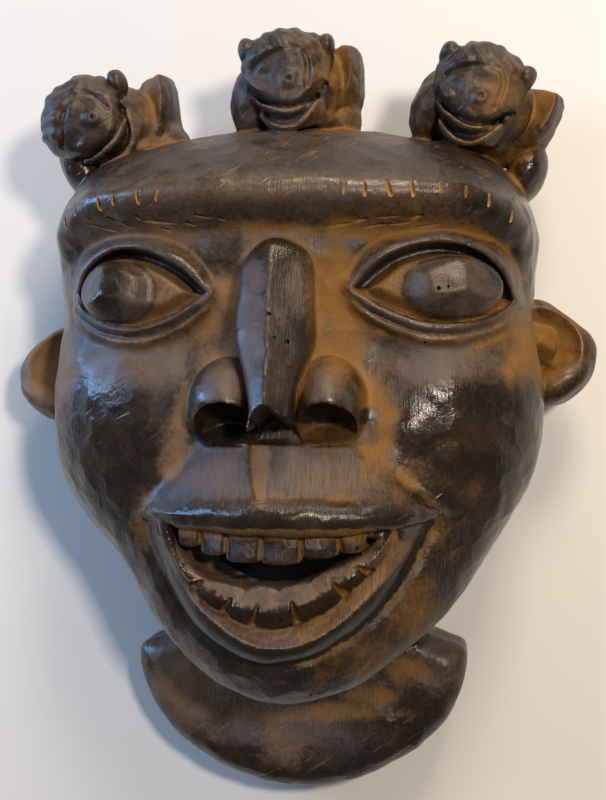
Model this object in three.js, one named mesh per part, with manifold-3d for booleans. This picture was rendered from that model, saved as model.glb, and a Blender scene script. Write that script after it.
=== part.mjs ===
// A carved wooden face mask with three crouching animals on its crown and a collar under the chin.
// It lies on its flat back rim and looks straight up: +Z out of the face, +Y to the crown,
// +X to the viewer's right. Millimetres. The origin ends at the middle of the underside.

import * as THREE from 'three';
import { mergeVertices } from 'three/addons/utils/BufferGeometryUtils.js';
import Module from 'manifold-3d';

const wasm = await Module();
wasm.setup();

// Head: how far its widest line lies from the middle of the face, at bearings from the crown (0)
// to the chin (180), and how high above the back rim that line runs.
const HEAD_OUTLINE = [
  [0, 151], [14, 154], [25, 160], [36, 170], [45, 171.5], [54, 164.5], [62, 152], [72, 139],
  [90, 138], [106, 138], [120, 136], [131, 137], [143, 143], [155, 149], [167, 158], [180, 163],
];
// The jaw on the viewer's left is slimmer than the one on the right.
const LEFT_JAW = { bearing: 137, trim: 9, spread: 15 };
const WIDEST_HEIGHT = [[0, 60], [50, 64], [90, 72], [120, 78], [150, 100], [180, 112]];
const RIM_SHARE = [[0, 0.96], [90, 0.955], [130, 0.94], [155, 0.88], [180, 0.84]];
const WALL = 18;
const HOLLOW_CEILING = 22;

// Height of the face along its middle line, from below the chin to the crown.
const FACE_HEIGHT = [
  [-170, 158], [-120, 157], [-60, 150], [-25, 140], [0, 136], [60, 136], [88, 146], [160, 148],
];
const CHEEK_HEIGHT = 136;
const MUZZLE_HALF_WIDTH = 62;
const CHEEK = { x: 92, y: -8, rise: 5, reach: 36 };
const NOSE_SIDE_DIP = { x: 48, y: 26, rise: -6, reach: 22 };

// Forehead: a higher dome that ends in a sharp brow edge with a slanted underside.
const FOREHEAD_HEIGHT = 180;
const BROW_Y = 105;
const BROW_DROP = 26;
const BROW_REACH = 133;
const BROW_SLANT = 0.78;

// Eyes, left and right as the viewer sees them.
const EYES = [
  {
    side: -1,
    inner: [-42, 58],
    top: [-80, 79],
    outer: [-116, 58],
    bottom: [-82, 40],
    ball: { x: -89, y: 58, halfWidth: 23, halfHeight: 18 },
  },
  {
    side: 1,
    inner: [36, 58],
    top: [80, 80],
    outer: [121, 57],
    bottom: [85, 37],
    ball: { x: 86, y: 59, halfWidth: 28, halfHeight: 19 },
  },
];
const LID = { halfWidth: 5, rise: 7, innerBow: 4, outerBow: 5.5 };
const BALL = { rise: 16, depth: 20, turnOut: 16 };

// Nose: a straight bar with a wing on each side.
const NOSE = { x: -2, top: 77, tip: -4, halfWidth: 18.5, topHeight: 150, tipHeight: 185, depth: 34 };
const WING = { x: 27, y: -3, halfWidth: 21, halfHeight: 26, height: 168, depth: 36 };
const WING_FLOOR_Y = -23;
const NOSTRIL = { x: 27, y: -22, halfWidth: 13, halfHeight: 20, height: 168, depth: 24 };

// Mouth: the upper lip slopes forward to its edge, the lower lip is a deep bow.
const LIP_TOP = { left: -47, right: 48, y: -22, height: 149 };
const LIP_EDGE = { left: -68, right: 76, y: -63, height: 173 };
const LIP_EDGE_RADIUS = 6.5;
const LIP_BASE = 120;
const LIP_ROUND = 20;
const LIP_SAG = 4;
const PHILTRUM = { x: -6, top: -20, bottom: -58, halfWidth: 6.5, depth: 5, sink: 3 };
const LOWER_LIP = { x: 2, y: -66, halfWidth: 71, depth: 61, height: 158, radius: 8.5, fall: 26 };
const MOUTH = { x: 0, y: -64, halfWidth: 60, depth: 53, floor: 138 };
const MOUTH_SLOT = { left: -42, right: 40, top: -78, bottom: -98, low: 20 };
const UPPER_TEETH = {
  left: -52,
  right: 50.4,
  top: -60.3,
  root: 128,
  height: 161,
  bow: 14,
  gap: 2,
  lengths: [15, 19, 22, 22, 21, 19, 15],
};
const LOWER_TEETH = {
  halfWidth: 47,
  depth: 45,
  count: 7,
  share: 0.76,
  gap: 2.2,
  tall: 13,
  thick: 14,
  height: 156,
  fall: 8,
};
const GUM = { low: 124, high: 147, rim: 2 };

// Ears: a cupped disc with a small knob in front of the cup.
const EARS = [
  { x: -140, y: 16, halfWidth: 29, halfHeight: 29, knob: [-125, 16] },
  { x: 139, y: 27, halfWidth: 31, halfHeight: 31, knob: [127, 27] },
];
const EAR_HEIGHT = 57;
const EAR_DEPTH = 34;
const EAR_CUP = { share: 0.66, z: 14, depth: 12 };
const EAR_KNOB = { halfWidth: 9, halfHeight: 10, depth: 11, z: 2 };

// Collar: a thick crescent flange below the chin.
const COLLAR = { y: -151, halfWidth: 96.5, depth: 75.5, tipY: -143, height: 47, edge: 13, point: 1.12 };
const COLLAR_HOLLOW = { halfWidth: 52, top: -110, ceiling: 27 };

// Animals: the middle of each head and its turn from upright, and where its raised haunch and its
// hind foot lie from the head.
const ANIMALS = [
  { x: -108, y: 149, turn: 29, haunch: [37, 9], foot: [29, -18] },
  { x: -4, y: 175, turn: 0, haunch: [29, 13], foot: [29, -18] },
  { x: 99, y: 165, turn: -22, haunch: [35, 4], foot: [42, -24] },
];
// Lumps of one animal: place from the middle of its head, and half sizes.
const ANIMAL_LUMPS = {
  head: { at: [-2, 3, 94], half: [24, 25, 24], steps: 12, rings: 7 },
  jaw: { at: [1, -9, 102], half: [19, 13, 20], steps: 9, rings: 5 },
  nose: { at: [3, -1, 115], half: [6.5, 6, 7], steps: 6, rings: 4 },
  leftEar: { at: [-22, 16, 92], half: [7, 8, 7], steps: 7, rings: 4 },
  rightEar: { at: [21, 17, 92], half: [7, 8, 7], steps: 7, rings: 4 },
  body: { at: [10, 0, 60], half: [26, 26, 42], steps: 9, rings: 5 },
  foreleg: { at: [-19, -10, 77], half: [13, 22, 19], steps: 7, rings: 5 },
  rump: { at: [4, -18, 62], half: [31, 14, 44], steps: 9, rings: 5 },
};
const HAUNCH = { z: 62, half: [11, 23, 27], steps: 7, rings: 5 };
const FOOT = { z: 60, half: [11, 18, 20], steps: 6, rings: 5 };

const FACE_STEPS = 44;
const FACE_RINGS = 10;
const FOREHEAD_STEPS = 38;
const FOREHEAD_RINGS = 9;
const FOREHEAD_SWELL = 0.8;
const FAR = 300;

const Z_AXIS = new THREE.Vector3(0, 0, 1);

// Value of a smooth curve through [at, value] pairs, level at both ends.
function along(table, at) {
  const last = table.length - 1;
  if (at <= table[0][0]) return table[0][1];
  if (at >= table[last][0]) return table[last][1];
  let i = 0;
  while (at > table[i + 1][0]) i += 1;
  const slope = (k) => {
    if (k === 0 || k === last) return 0;
    return (table[k + 1][1] - table[k - 1][1]) / (table[k + 1][0] - table[k - 1][0]);
  };
  const span = table[i + 1][0] - table[i][0];
  const t = (at - table[i][0]) / span;
  const start = (1 + 2 * t) * (1 - t) ** 2 * table[i][1] + t * (1 - t) ** 2 * span * slope(i);
  const end = t * t * (3 - 2 * t) * table[i + 1][1] + t * t * (t - 1) * span * slope(i + 1);
  return start + end;
}

// Distance from the middle of the face to its widest line, in the direction of a point.
function outlineRadius(x, y) {
  const turn = bearing(x, y);
  const slim = LEFT_JAW.trim * Math.exp(-(((turn - LEFT_JAW.bearing) / LEFT_JAW.spread) ** 2));
  return along(HEAD_OUTLINE, turn) - (x < -1e-6 ? slim : 0);
}

function bearing(x, y) {
  return THREE.MathUtils.radToDeg(Math.atan2(Math.abs(x), y));
}

function bump(x, y, { x: cx, y: cy, rise, reach }) {
  const square = (Math.abs(x) - cx) ** 2 + (y - cy) ** 2;
  return rise * Math.exp(-square / (reach * reach));
}

// Height of the bare face above the back rim, before the features are added.
function faceHeight(x, y) {
  const turn = bearing(x, y);
  const share = Math.min(1, Math.hypot(x, y) / outlineRadius(x, y));
  const low = along(WIDEST_HEIGHT, turn);
  const middle = along(FACE_HEIGHT, y) - CHEEK_HEIGHT;
  const crest = CHEEK_HEIGHT + middle * Math.exp(-((x / MUZZLE_HALF_WIDTH) ** 2));
  const top = crest + bump(x, y, CHEEK) + bump(x, y, NOSE_SIDE_DIP);
  return low + (top - low) * Math.sqrt(1 - share ** 3);
}

function foreheadHeight(x, y) {
  const turn = bearing(x, y);
  const share = Math.min(1, Math.hypot(x, y) / outlineRadius(x, y));
  const low = along(WIDEST_HEIGHT, turn);
  return low + (FOREHEAD_HEIGHT - low) * Math.sqrt(1 - share ** 3);
}

function toSolid(geometry) {
  geometry.deleteAttribute('normal');
  geometry.deleteAttribute('uv');
  const merged = mergeVertices(geometry, 1e-4);
  const corners = merged.index.array;
  const kept = [];
  for (let i = 0; i < corners.length; i += 3) {
    const [a, b, c] = corners.slice(i, i + 3);
    if (a !== b && b !== c && c !== a) kept.push(a, b, c);
  }
  const mesh = new wasm.Mesh({
    numProp: 3,
    vertProperties: new Float32Array(merged.attributes.position.array),
    triVerts: new Uint32Array(kept),
  });
  return new wasm.Manifold(mesh);
}

function joined(solids) {
  return solids.reduce((whole, solid) => whole.add(solid));
}

function reshape(geometry, place) {
  const position = geometry.attributes.position;
  const vertex = new THREE.Vector3();
  for (let i = 0; i < position.count; i += 1) {
    vertex.fromBufferAttribute(position, i);
    place(vertex);
    position.setXYZ(i, vertex.x, vertex.y, vertex.z);
  }
  return geometry;
}

// Rounded lump with its half sizes along X, Y and Z.
function lump(x, y, z, halfX, halfY, halfZ, steps = 14, rings = 9) {
  const ball = new THREE.SphereGeometry(1, steps, rings);
  ball.rotateX(Math.PI / 2);
  ball.scale(halfX, halfY, halfZ);
  ball.translate(x, y, z);
  return ball;
}

function block(left, right, bottom, top, low, high) {
  const box = new THREE.BoxGeometry(right - left, top - bottom, high - low);
  box.translate((left + right) / 2, (bottom + top) / 2, (low + high) / 2);
  return box;
}

// Plate with a drawn outline, from one height to another.
function plate(shape, low, high, curveSegments = 12) {
  const body = new THREE.ExtrudeGeometry(shape, { depth: high - low, bevelEnabled: false, curveSegments });
  body.translate(0, 0, low);
  return body;
}

// Rounded bar along a curve. Its half width and half thickness follow the way t along the curve.
function bar(points, halfWidth, halfThickness, steps = 16, sides = 8) {
  const curve = new THREE.CatmullRomCurve3(points.map((p) => new THREE.Vector3(...p)));
  const rod = new THREE.CylinderGeometry(1, 1, 1, sides, steps);
  return reshape(rod, (v) => {
    const t = THREE.MathUtils.clamp(v.y + 0.5, 0, 1);
    const middle = curve.getPointAt(t);
    const forward = curve.getTangentAt(t);
    const across = new THREE.Vector3().crossVectors(forward, Z_AXIS).normalize();
    const out = new THREE.Vector3().crossVectors(across, forward);
    const width = v.x * halfWidth(t);
    const thickness = v.z * halfThickness(t);
    v.copy(middle).addScaledVector(across, width).addScaledVector(out, thickness);
  });
}

function tapered(full, end = 0.2) {
  return (t) => full * (end + (1 - end) * Math.sin(Math.PI * t) ** 0.6);
}

// Closed dome over the head's outline: front skin, side wall and flat underside.
function dome(height, inset, foot, steps, rings) {
  const profile = [];
  for (let i = 0; i <= rings; i += 1) {
    profile.push(new THREE.Vector2(Math.sin((Math.PI / 2) * (i / rings)), 2));
  }
  const wallSteps = 4;
  for (let i = 1; i <= wallSteps; i += 1) {
    profile.push(new THREE.Vector2(1, 2 - i / wallSteps));
  }
  profile.push(new THREE.Vector2(0, 1));
  profile.reverse();
  const skin = new THREE.LatheGeometry(profile, steps);
  skin.rotateX(Math.PI / 2);
  return reshape(skin, (v) => {
    const turn = bearing(v.x, v.y);
    const reach = outlineRadius(v.x, v.y) - inset;
    const low = along(WIDEST_HEIGHT, turn);
    const up = v.z - 1;
    const onWall = Math.abs(Math.hypot(v.x, v.y) - 1) < 1e-6 && up < 1;
    const lean = (1 - up) ** 2 * (3 - 2 * (1 - up));
    const share = onWall ? 1 - (1 - along(RIM_SHARE, turn)) * lean : 1;
    const wide = up > 0.999 || onWall ? share : along(RIM_SHARE, turn);
    v.x *= reach * wide;
    v.y *= reach * wide;
    const outer = reach / (reach + inset);
    if (up > 0.999) v.z = height(v.x / outer, v.y / outer) - inset;
    else v.z = foot + (Math.max(low - inset, foot + 1) - foot) * up;
  });
}

function head() {
  const face = toSolid(dome(faceHeight, 0, 0, FACE_STEPS, FACE_RINGS));
  const forehead = toSolid(dome(foreheadHeight, -FOREHEAD_SWELL, 2, FOREHEAD_STEPS, FOREHEAD_RINGS));
  return face.add(forehead.intersect(aboveBrow()));
}

// The brow edge seen from the front: almost straight, and falling at both ends.
function browLine(x) {
  return BROW_Y - BROW_DROP * Math.min(1.4, (Math.abs(x) / BROW_REACH) ** 8);
}

// Everything above the brow edge, with its lower wall slanted under the edge.
function aboveBrow() {
  const far = 170;
  const count = 26;
  const shape = new THREE.Shape();
  shape.moveTo(far, 2 * far);
  shape.lineTo(-far, 2 * far);
  for (let i = 0; i <= count; i += 1) {
    const x = far * ((2 * i) / count - 1);
    shape.lineTo(x, browLine(x));
  }
  shape.closePath();
  return toSolid(reshape(plate(shape, 10, 220), (v) => {
    if (v.y < far) v.y += (v.z - foreheadHeight(v.x, browLine(v.x))) * BROW_SLANT;
  }));
}

// The hollow back of the head, and the shallower hollow of the collar that opens into it.
function hollow() {
  const inside = toSolid(dome((x, y) => faceHeight(x, y) + WALL - HOLLOW_CEILING, WALL, -6, 26, 6));
  const neck = new THREE.Shape();
  neck.absellipse(0, COLLAR.y, COLLAR.halfWidth - WALL, COLLAR.depth - WALL, Math.PI, 2 * Math.PI);
  neck.lineTo(COLLAR_HOLLOW.halfWidth, COLLAR_HOLLOW.top);
  neck.lineTo(-COLLAR_HOLLOW.halfWidth, COLLAR_HOLLOW.top);
  neck.closePath();
  return inside.add(toSolid(plate(neck, -6, COLLAR_HOLLOW.ceiling, 8)));
}

function eye({ side, inner, top, outer, bottom, ball }) {
  const between = (a, b, bowX, bowY) => [(a[0] + b[0]) / 2 + bowX, (a[1] + b[1]) / 2 + bowY];
  const { innerBow, outerBow } = LID;
  const outward = side * outerBow;
  const lines = [
    [inner, between(inner, top, 0, innerBow), top, between(top, outer, outward, outerBow), outer],
    [inner, between(inner, bottom, 0, -innerBow), bottom, between(bottom, outer, outward, -outerBow), outer],
  ];
  const onFace = ([x, y], lift) => [x, y, faceHeight(x, y) + lift];
  const width = tapered(LID.halfWidth, 0.45);
  const lids = lines.map((line) => {
    const points = line.map((point) => onFace(point, LID.rise - LID.halfWidth));
    return toSolid(bar(points, width, width, 10, 6));
  });
  const eyeball = lump(0, 0, 0, ball.halfWidth, ball.halfHeight, BALL.depth, 14, 7);
  eyeball.rotateY(side * THREE.MathUtils.degToRad(BALL.turnOut));
  eyeball.translate(ball.x, ball.y, faceHeight(ball.x, ball.y) + BALL.rise - BALL.depth);
  const corner = lump(...onFace(inner, 0), LID.halfWidth, LID.halfWidth - 1, LID.halfWidth, 8, 5);
  return joined([...lids, toSolid(eyeball), toSolid(corner)]);
}

function nose() {
  const { x, top, tip, halfWidth, topHeight, tipHeight, depth } = NOSE;
  const bulge = 2;
  const line = [
    [x, top, topHeight - depth],
    [x, (top + tip) / 2, (topHeight + tipHeight) / 2 - depth + bulge],
    [x, tip, tipHeight - depth],
  ];
  const width = (t) => halfWidth * Math.min(1, 0.7 + 3 * t, 0.6 + 3 * (1 - t));
  return toSolid(bar(line, width, () => depth, 8, 12));
}

function wing(side) {
  const part = ({ x, y, halfWidth, halfHeight, height, depth }, centre, steps, rings) => {
    return toSolid(lump(side * x, y, centre, halfWidth, halfHeight, depth, steps, rings));
  };
  const curl = part(WING, WING.height - WING.depth, 14, 8);
  const nostril = part(NOSTRIL, NOSTRIL.height, 10, 6);
  const below = toSolid(block(-FAR, FAR, -FAR, WING_FLOOR_Y, 0, FAR));
  return curl.subtract(nostril).subtract(below);
}

// Wedge between the nose and the lip edge: wider, and higher, towards the edge.
function upperLip() {
  const { lerp } = THREE.MathUtils;
  const wedge = reshape(new THREE.BoxGeometry(2, 1, 1, 6, 4, 1), (v) => {
    const down = 0.5 - v.y;
    const middle = lerp(LIP_TOP.left + LIP_TOP.right, LIP_EDGE.left + LIP_EDGE.right, down) / 2;
    const reach = lerp(LIP_TOP.right - LIP_TOP.left, LIP_EDGE.right - LIP_EDGE.left, down) / 2;
    const outward = v.x * v.x;
    const front = lerp(LIP_TOP.height, LIP_EDGE.height, down) - LIP_ROUND * outward * (0.6 + 0.6 * down);
    const y = lerp(LIP_TOP.y, LIP_EDGE.y, down) + LIP_SAG * outward * down;
    v.set(middle + v.x * reach, y, v.z > 0 ? front : LIP_BASE);
  });
  const { x, top, bottom, halfWidth, depth, sink } = PHILTRUM;
  const ends = [[x, top, LIP_TOP.height + sink], [x, bottom, LIP_EDGE.height + sink]];
  const groove = toSolid(bar(ends, tapered(halfWidth), tapered(depth), 8, 8));
  return toSolid(wedge).subtract(groove).add(lipEdge());
}

function lipEdge() {
  const middle = (LIP_EDGE.left + LIP_EDGE.right) / 2;
  const reach = (LIP_EDGE.right - LIP_EDGE.left) / 2 + 3;
  const roll = [-1, -0.6, 0, 0.6, 1].map((s) => {
    const z = LIP_EDGE.height - LIP_EDGE_RADIUS - 1.5 * LIP_ROUND * s * s;
    return [middle + s * reach, LIP_EDGE.y + LIP_SAG * s * s, z];
  });
  const size = tapered(LIP_EDGE_RADIUS, 0.5);
  return toSolid(bar(roll, size, size, 14, 8));
}

function bowPoint(shape, turn) {
  return [shape.x + shape.halfWidth * Math.cos(turn), shape.y - shape.depth * Math.sin(turn)];
}

function lowerLip() {
  const points = [];
  const count = 8;
  for (let i = 0; i <= count; i += 1) {
    const [x, y] = bowPoint(LOWER_LIP, Math.PI * (i / count));
    const fall = LOWER_LIP.fall * Math.abs(x / LOWER_LIP.halfWidth) ** 2.5;
    points.push([x, y, LOWER_LIP.height - fall - LOWER_LIP.radius]);
  }
  const size = tapered(LOWER_LIP.radius, 0.35);
  return toSolid(bar(points, size, (t) => size(t) * 1.3, 16, 7));
}

function mouthRecess() {
  const shape = new THREE.Shape();
  shape.absellipse(MOUTH.x, MOUTH.y, MOUTH.halfWidth, MOUTH.depth, Math.PI, 2 * Math.PI);
  shape.closePath();
  const bowl = toSolid(plate(shape, MOUTH.floor, FAR, 10));
  const { left, right, top, bottom, low } = MOUTH_SLOT;
  const slot = new THREE.Shape();
  slot.moveTo(left, top);
  slot.quadraticCurveTo((left + right) / 2, 2 * bottom - top, right, top);
  slot.closePath();
  return bowl.add(toSolid(plate(slot, low, FAR, 8)));
}

function upperTeeth() {
  const { left, right, top, root, height, bow, gap, lengths } = UPPER_TEETH;
  const pitch = (right - left) / lengths.length;
  return lengths.map((length, i) => {
    const start = left + i * pitch;
    const back = bow * ((start + pitch / 2) / right) ** 2;
    return toSolid(block(start + gap / 2, start + pitch - gap / 2, top - length, top, root, height - back));
  });
}

function lowerTeeth() {
  const { halfWidth, depth, count, share, gap, tall, thick, height, fall } = LOWER_TEETH;
  const row = { x: MOUTH.x, y: MOUTH.y - 4, halfWidth, depth };
  const wide = (share * Math.PI * (halfWidth + depth)) / 2 / count - gap;
  const teeth = [];
  for (let i = 0; i < count; i += 1) {
    const turn = Math.PI * ((1 - share) / 2 + share * ((i + 0.5) / count));
    const [x, y] = bowPoint(row, turn);
    const tooth = new THREE.BoxGeometry(wide, tall, thick);
    tooth.rotateZ(Math.PI / 2 - turn);
    tooth.translate(x, y, height - thick / 2 - fall * (x / halfWidth) ** 2);
    teeth.push(toSolid(tooth));
  }
  return teeth;
}

// Shelf that carries the lower teeth.
function gumShelf() {
  const shape = new THREE.Shape();
  const { halfWidth, depth, tall } = LOWER_TEETH;
  const y = MOUTH.y - 4;
  const out = tall / 2 + GUM.rim;
  const back = tall / 2 - GUM.rim;
  shape.absellipse(MOUTH.x, y, halfWidth + out, depth + out, Math.PI, 2 * Math.PI);
  shape.absellipse(MOUTH.x, y, halfWidth - back, depth - back - 3, 2 * Math.PI, Math.PI, true);
  shape.closePath();
  return toSolid(plate(shape, GUM.low, GUM.high, 10));
}

function ear({ x, y, halfWidth, halfHeight, knob }) {
  const side = Math.sign(x);
  const disc = toSolid(lump(0, 0, 0, halfWidth, halfHeight, EAR_DEPTH / 2, 16, 6));
  const { share, z, depth } = EAR_CUP;
  const cup = toSolid(lump(side * 2, 1, z, halfWidth * share, halfHeight * share, depth, 11, 6));
  const { halfWidth: wide, halfHeight: high, depth: deep } = EAR_KNOB;
  const button = toSolid(lump(knob[0] - x, knob[1] - y, EAR_KNOB.z, wide, high, deep, 8, 6));
  return disc.subtract(cup).add(button).translate([x, y, EAR_HEIGHT - EAR_DEPTH / 2]);
}

function collar() {
  const { y, halfWidth, depth, tipY, height, edge, point } = COLLAR;
  const bevel = edge * 0.7;
  const wide = halfWidth - bevel;
  const deep = depth - bevel;
  const count = 24;
  const shape = new THREE.Shape();
  shape.moveTo(-wide, y);
  for (let i = 1; i <= count; i += 1) {
    const across = -Math.cos(Math.PI * (i / count));
    const down = Math.sin(Math.PI * (i / count));
    shape.lineTo(wide * Math.sign(across) * Math.abs(across) ** point, y - deep * down ** point);
  }
  shape.lineTo(0.8 * wide, tipY);
  shape.lineTo(-0.8 * wide, tipY);
  shape.closePath();
  const body = new THREE.ExtrudeGeometry(shape, {
    depth: height - edge,
    bevelThickness: edge,
    bevelSize: bevel,
    bevelSegments: 3,
  });
  return toSolid(body).intersect(toSolid(block(-FAR, FAR, -FAR, 0, 0, FAR)));
}

function animal({ x, y, turn, haunch, foot }) {
  const placed = [
    ...Object.values(ANIMAL_LUMPS),
    { ...HAUNCH, at: [...haunch, HAUNCH.z] },
    { ...FOOT, at: [...foot, FOOT.z] },
  ];
  const lumps = placed.map(({ at, half, steps, rings }) => toSolid(lump(...at, ...half, steps, rings)));
  return joined(lumps).rotate([0, 0, turn]).translate([x, y, 0]);
}

function mask() {
  const features = [head(), nose(), wing(-1), wing(1), ...EYES.map(eye), lowerLip(), collar()];
  features.push(upperLip());
  const carved = joined(features).subtract(mouthRecess());
  const inMouth = [gumShelf(), ...upperTeeth(), ...lowerTeeth()];
  const whole = joined([carved, ...inMouth, ...EARS.map(ear), ...ANIMALS.map(animal)]);
  return whole.subtract(hollow());
}

function toGeometry(solid) {
  const { vertProperties, triVerts } = solid.getMesh();
  const geometry = new THREE.BufferGeometry();
  geometry.setAttribute('position', new THREE.BufferAttribute(new Float32Array(vertProperties), 3));
  geometry.setIndex(new THREE.BufferAttribute(new Uint32Array(triVerts), 1));
  geometry.computeBoundingBox();
  const box = geometry.boundingBox;
  geometry.translate(-(box.min.x + box.max.x) / 2, -(box.min.y + box.max.y) / 2, -box.min.z);
  geometry.computeVertexNormals();
  return geometry;
}

const wood = new THREE.MeshStandardMaterial({ color: 0x3b2c23, roughness: 0.48, metalness: 0 });
const piece = new THREE.Mesh(toGeometry(mask()), wood);
piece.name = 'mask';

const model = new THREE.Group();
model.add(piece);

export default model;
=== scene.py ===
# %% [markdown]
# # A carved wooden face mask
# The real mask is cut from one log: a broad face with a heavy brow, an open toothed mouth,
# cupped ears, three small crouching animals on the crown and a collar under the chin.
# Wood carving takes material away from a block, and a field of distances does the same:
# every point of a grid knows how far it is from the surface, and each cut or lump changes
# those numbers. The surface is drawn through the zeros at the end. That gives one closed
# piece with soft joins, which separate meshes pushed into each other would not.

# %% Load the frame
import functools
import math

import bmesh
import bpy
import numpy as np
import openvdb as vdb
from mathutils import Matrix, Vector


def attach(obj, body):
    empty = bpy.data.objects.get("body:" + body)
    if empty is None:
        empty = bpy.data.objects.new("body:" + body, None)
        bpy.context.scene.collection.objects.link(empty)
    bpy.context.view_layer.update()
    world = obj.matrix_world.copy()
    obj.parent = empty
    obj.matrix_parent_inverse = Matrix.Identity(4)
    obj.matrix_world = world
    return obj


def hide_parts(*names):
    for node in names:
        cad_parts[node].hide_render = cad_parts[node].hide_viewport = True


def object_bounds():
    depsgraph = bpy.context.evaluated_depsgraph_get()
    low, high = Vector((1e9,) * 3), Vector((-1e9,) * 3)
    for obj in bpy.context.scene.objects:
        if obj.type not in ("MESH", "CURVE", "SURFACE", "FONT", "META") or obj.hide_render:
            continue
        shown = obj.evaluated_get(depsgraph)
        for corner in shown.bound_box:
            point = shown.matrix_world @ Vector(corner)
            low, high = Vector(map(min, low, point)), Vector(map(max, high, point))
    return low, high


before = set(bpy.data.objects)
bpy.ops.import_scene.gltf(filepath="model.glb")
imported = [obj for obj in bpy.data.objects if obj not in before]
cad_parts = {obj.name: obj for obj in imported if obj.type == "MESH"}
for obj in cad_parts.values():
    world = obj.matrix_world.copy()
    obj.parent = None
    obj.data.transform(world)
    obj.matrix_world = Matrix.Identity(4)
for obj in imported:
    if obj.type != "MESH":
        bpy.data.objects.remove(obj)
CAD_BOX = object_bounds()
print("solid box, mm:", [round(1000 * v, 1) for corner in CAD_BOX for v in corner])

# %% [markdown]
# ## The face's own millimetres
# All sizes below are millimetres measured from the middle of the face, with the crown up.
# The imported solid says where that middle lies, so the carving lands exactly on the solid.

# %% Where the face lies
HALF_SPAN = 170.0
COLLAR_FOOT = 226.5
FACE_X = CAD_BOX[1].x * 1000 - HALF_SPAN
FACE_Y = CAD_BOX[0].y * 1000 + COLLAR_FOOT
FACE_SHIFT = np.array([FACE_X, FACE_Y, 0.0])
print("face middle at", round(FACE_X, 2), round(FACE_Y, 2))

# %% [markdown]
# ## The block of numbers
# The grid is the block of wood. A finer step shows smaller cuts and takes longer.

# %% Grid
STEP = 1.0
BLOCK_LOW = np.array([-173.0, -229.0, -4.0])
BLOCK_HIGH = np.array([173.0, 214.0, 188.0])
counts = np.ceil((BLOCK_HIGH - BLOCK_LOW) / STEP).astype(int) + 1
axes = [BLOCK_LOW[i] + STEP * np.arange(counts[i]) for i in range(3)]
gx = axes[0][:, None, None].astype(np.float32)
gy = axes[1][None, :, None].astype(np.float32)
gz = axes[2][None, None, :].astype(np.float32)
print("grid", counts, "of", STEP, "mm")

# %% [markdown]
# ## Tools for joining and cutting
# A plain minimum of two distances joins two shapes with a sharp crease. A smooth minimum
# rounds that crease over k millimetres, which is how a worn carving looks. A cut is the
# opposite: the larger of the wood and the outside of the cutter. Each tool works only on
# the part of the block that it can reach, between a low and a high corner.

# %% Join and cut
def smooth_min(a, b, k):
    h = np.maximum(k - np.abs(a - b), 0) / k
    return np.minimum(a, b) - h * h * k * 0.25


def smooth_max(a, b, k):
    return -smooth_min(-a, -b, k)


def trimmed(body, *trims):
    # Cuts the body by each surface in turn. A trim is the surface and its rounding.
    for surface, k in trims:
        body = smooth_max(body, surface, k)
    return body


def part_of_block(low, high):
    spans = []
    for i in range(3):
        first = int(np.clip(math.floor((low[i] - BLOCK_LOW[i]) / STEP), 0, counts[i] - 1))
        last = int(np.clip(math.ceil((high[i] - BLOCK_LOW[i]) / STEP) + 1, 1, counts[i]))
        spans.append(slice(first, last))
    return tuple(spans), (gx[spans[0]], gy[:, spans[1]], gz[:, :, spans[2]])


def join(wood, low, high, shape, k):
    spans, (x, y, z) = part_of_block(low, high)
    wood[spans] = smooth_min(wood[spans], shape(x, y, z), k)


def carve(wood, low, high, shape, k):
    spans, (x, y, z) = part_of_block(low, high)
    wood[spans] = smooth_max(wood[spans], -shape(x, y, z), k)


print("a join with k = 4 fills its crease by", -smooth_min(0.0, 0.0, 4.0), "mm")

# %% [markdown]
# ## Curves from a few numbers
# A carver marks a few depths and joins them by eye. `along` does that with a smooth curve
# through pairs of numbers. `smoothstep` is a soft change from 0 to 1, and `bell` is a soft
# ridge that is 1 in its middle.

# %% Curves
def smoothstep(a, b, v):
    t = np.clip((v - a) / (b - a), 0, 1)
    return t * t * (3 - 2 * t)


def bell(v, width, power=2):
    return np.exp(-((v / width) ** power))


def along(table, at):
    # Smooth curve through [at, value] pairs, level at both ends.
    table = np.array(table, float)
    at = np.clip(np.asarray(at, float), table[0, 0], table[-1, 0])
    i = np.clip(np.searchsorted(table[:, 0], at, side="right") - 1, 0, len(table) - 2)
    slope = np.zeros(len(table))
    slope[1:-1] = (table[2:, 1] - table[:-2, 1]) / (table[2:, 0] - table[:-2, 0])
    span = table[i + 1, 0] - table[i, 0]
    t = (at - table[i, 0]) / span
    start = (1 + 2 * t) * (1 - t) ** 2 * table[i, 1] + t * (1 - t) ** 2 * span * slope[i]
    end = t * t * (3 - 2 * t) * table[i + 1, 1] + t * t * (t - 1) * span * slope[i + 1]
    return start + end


print("half way up a soft step:", smoothstep(0.0, 1.0, 0.5))

# %% [markdown]
# ## The bare head
# The head is a dome over its own outline. The outline is given as how far it reaches at
# each bearing from the crown, so a handful of numbers draws the whole shape, and the
# height over the rim follows a rounded profile. The rim lies flat on the floor.

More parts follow.
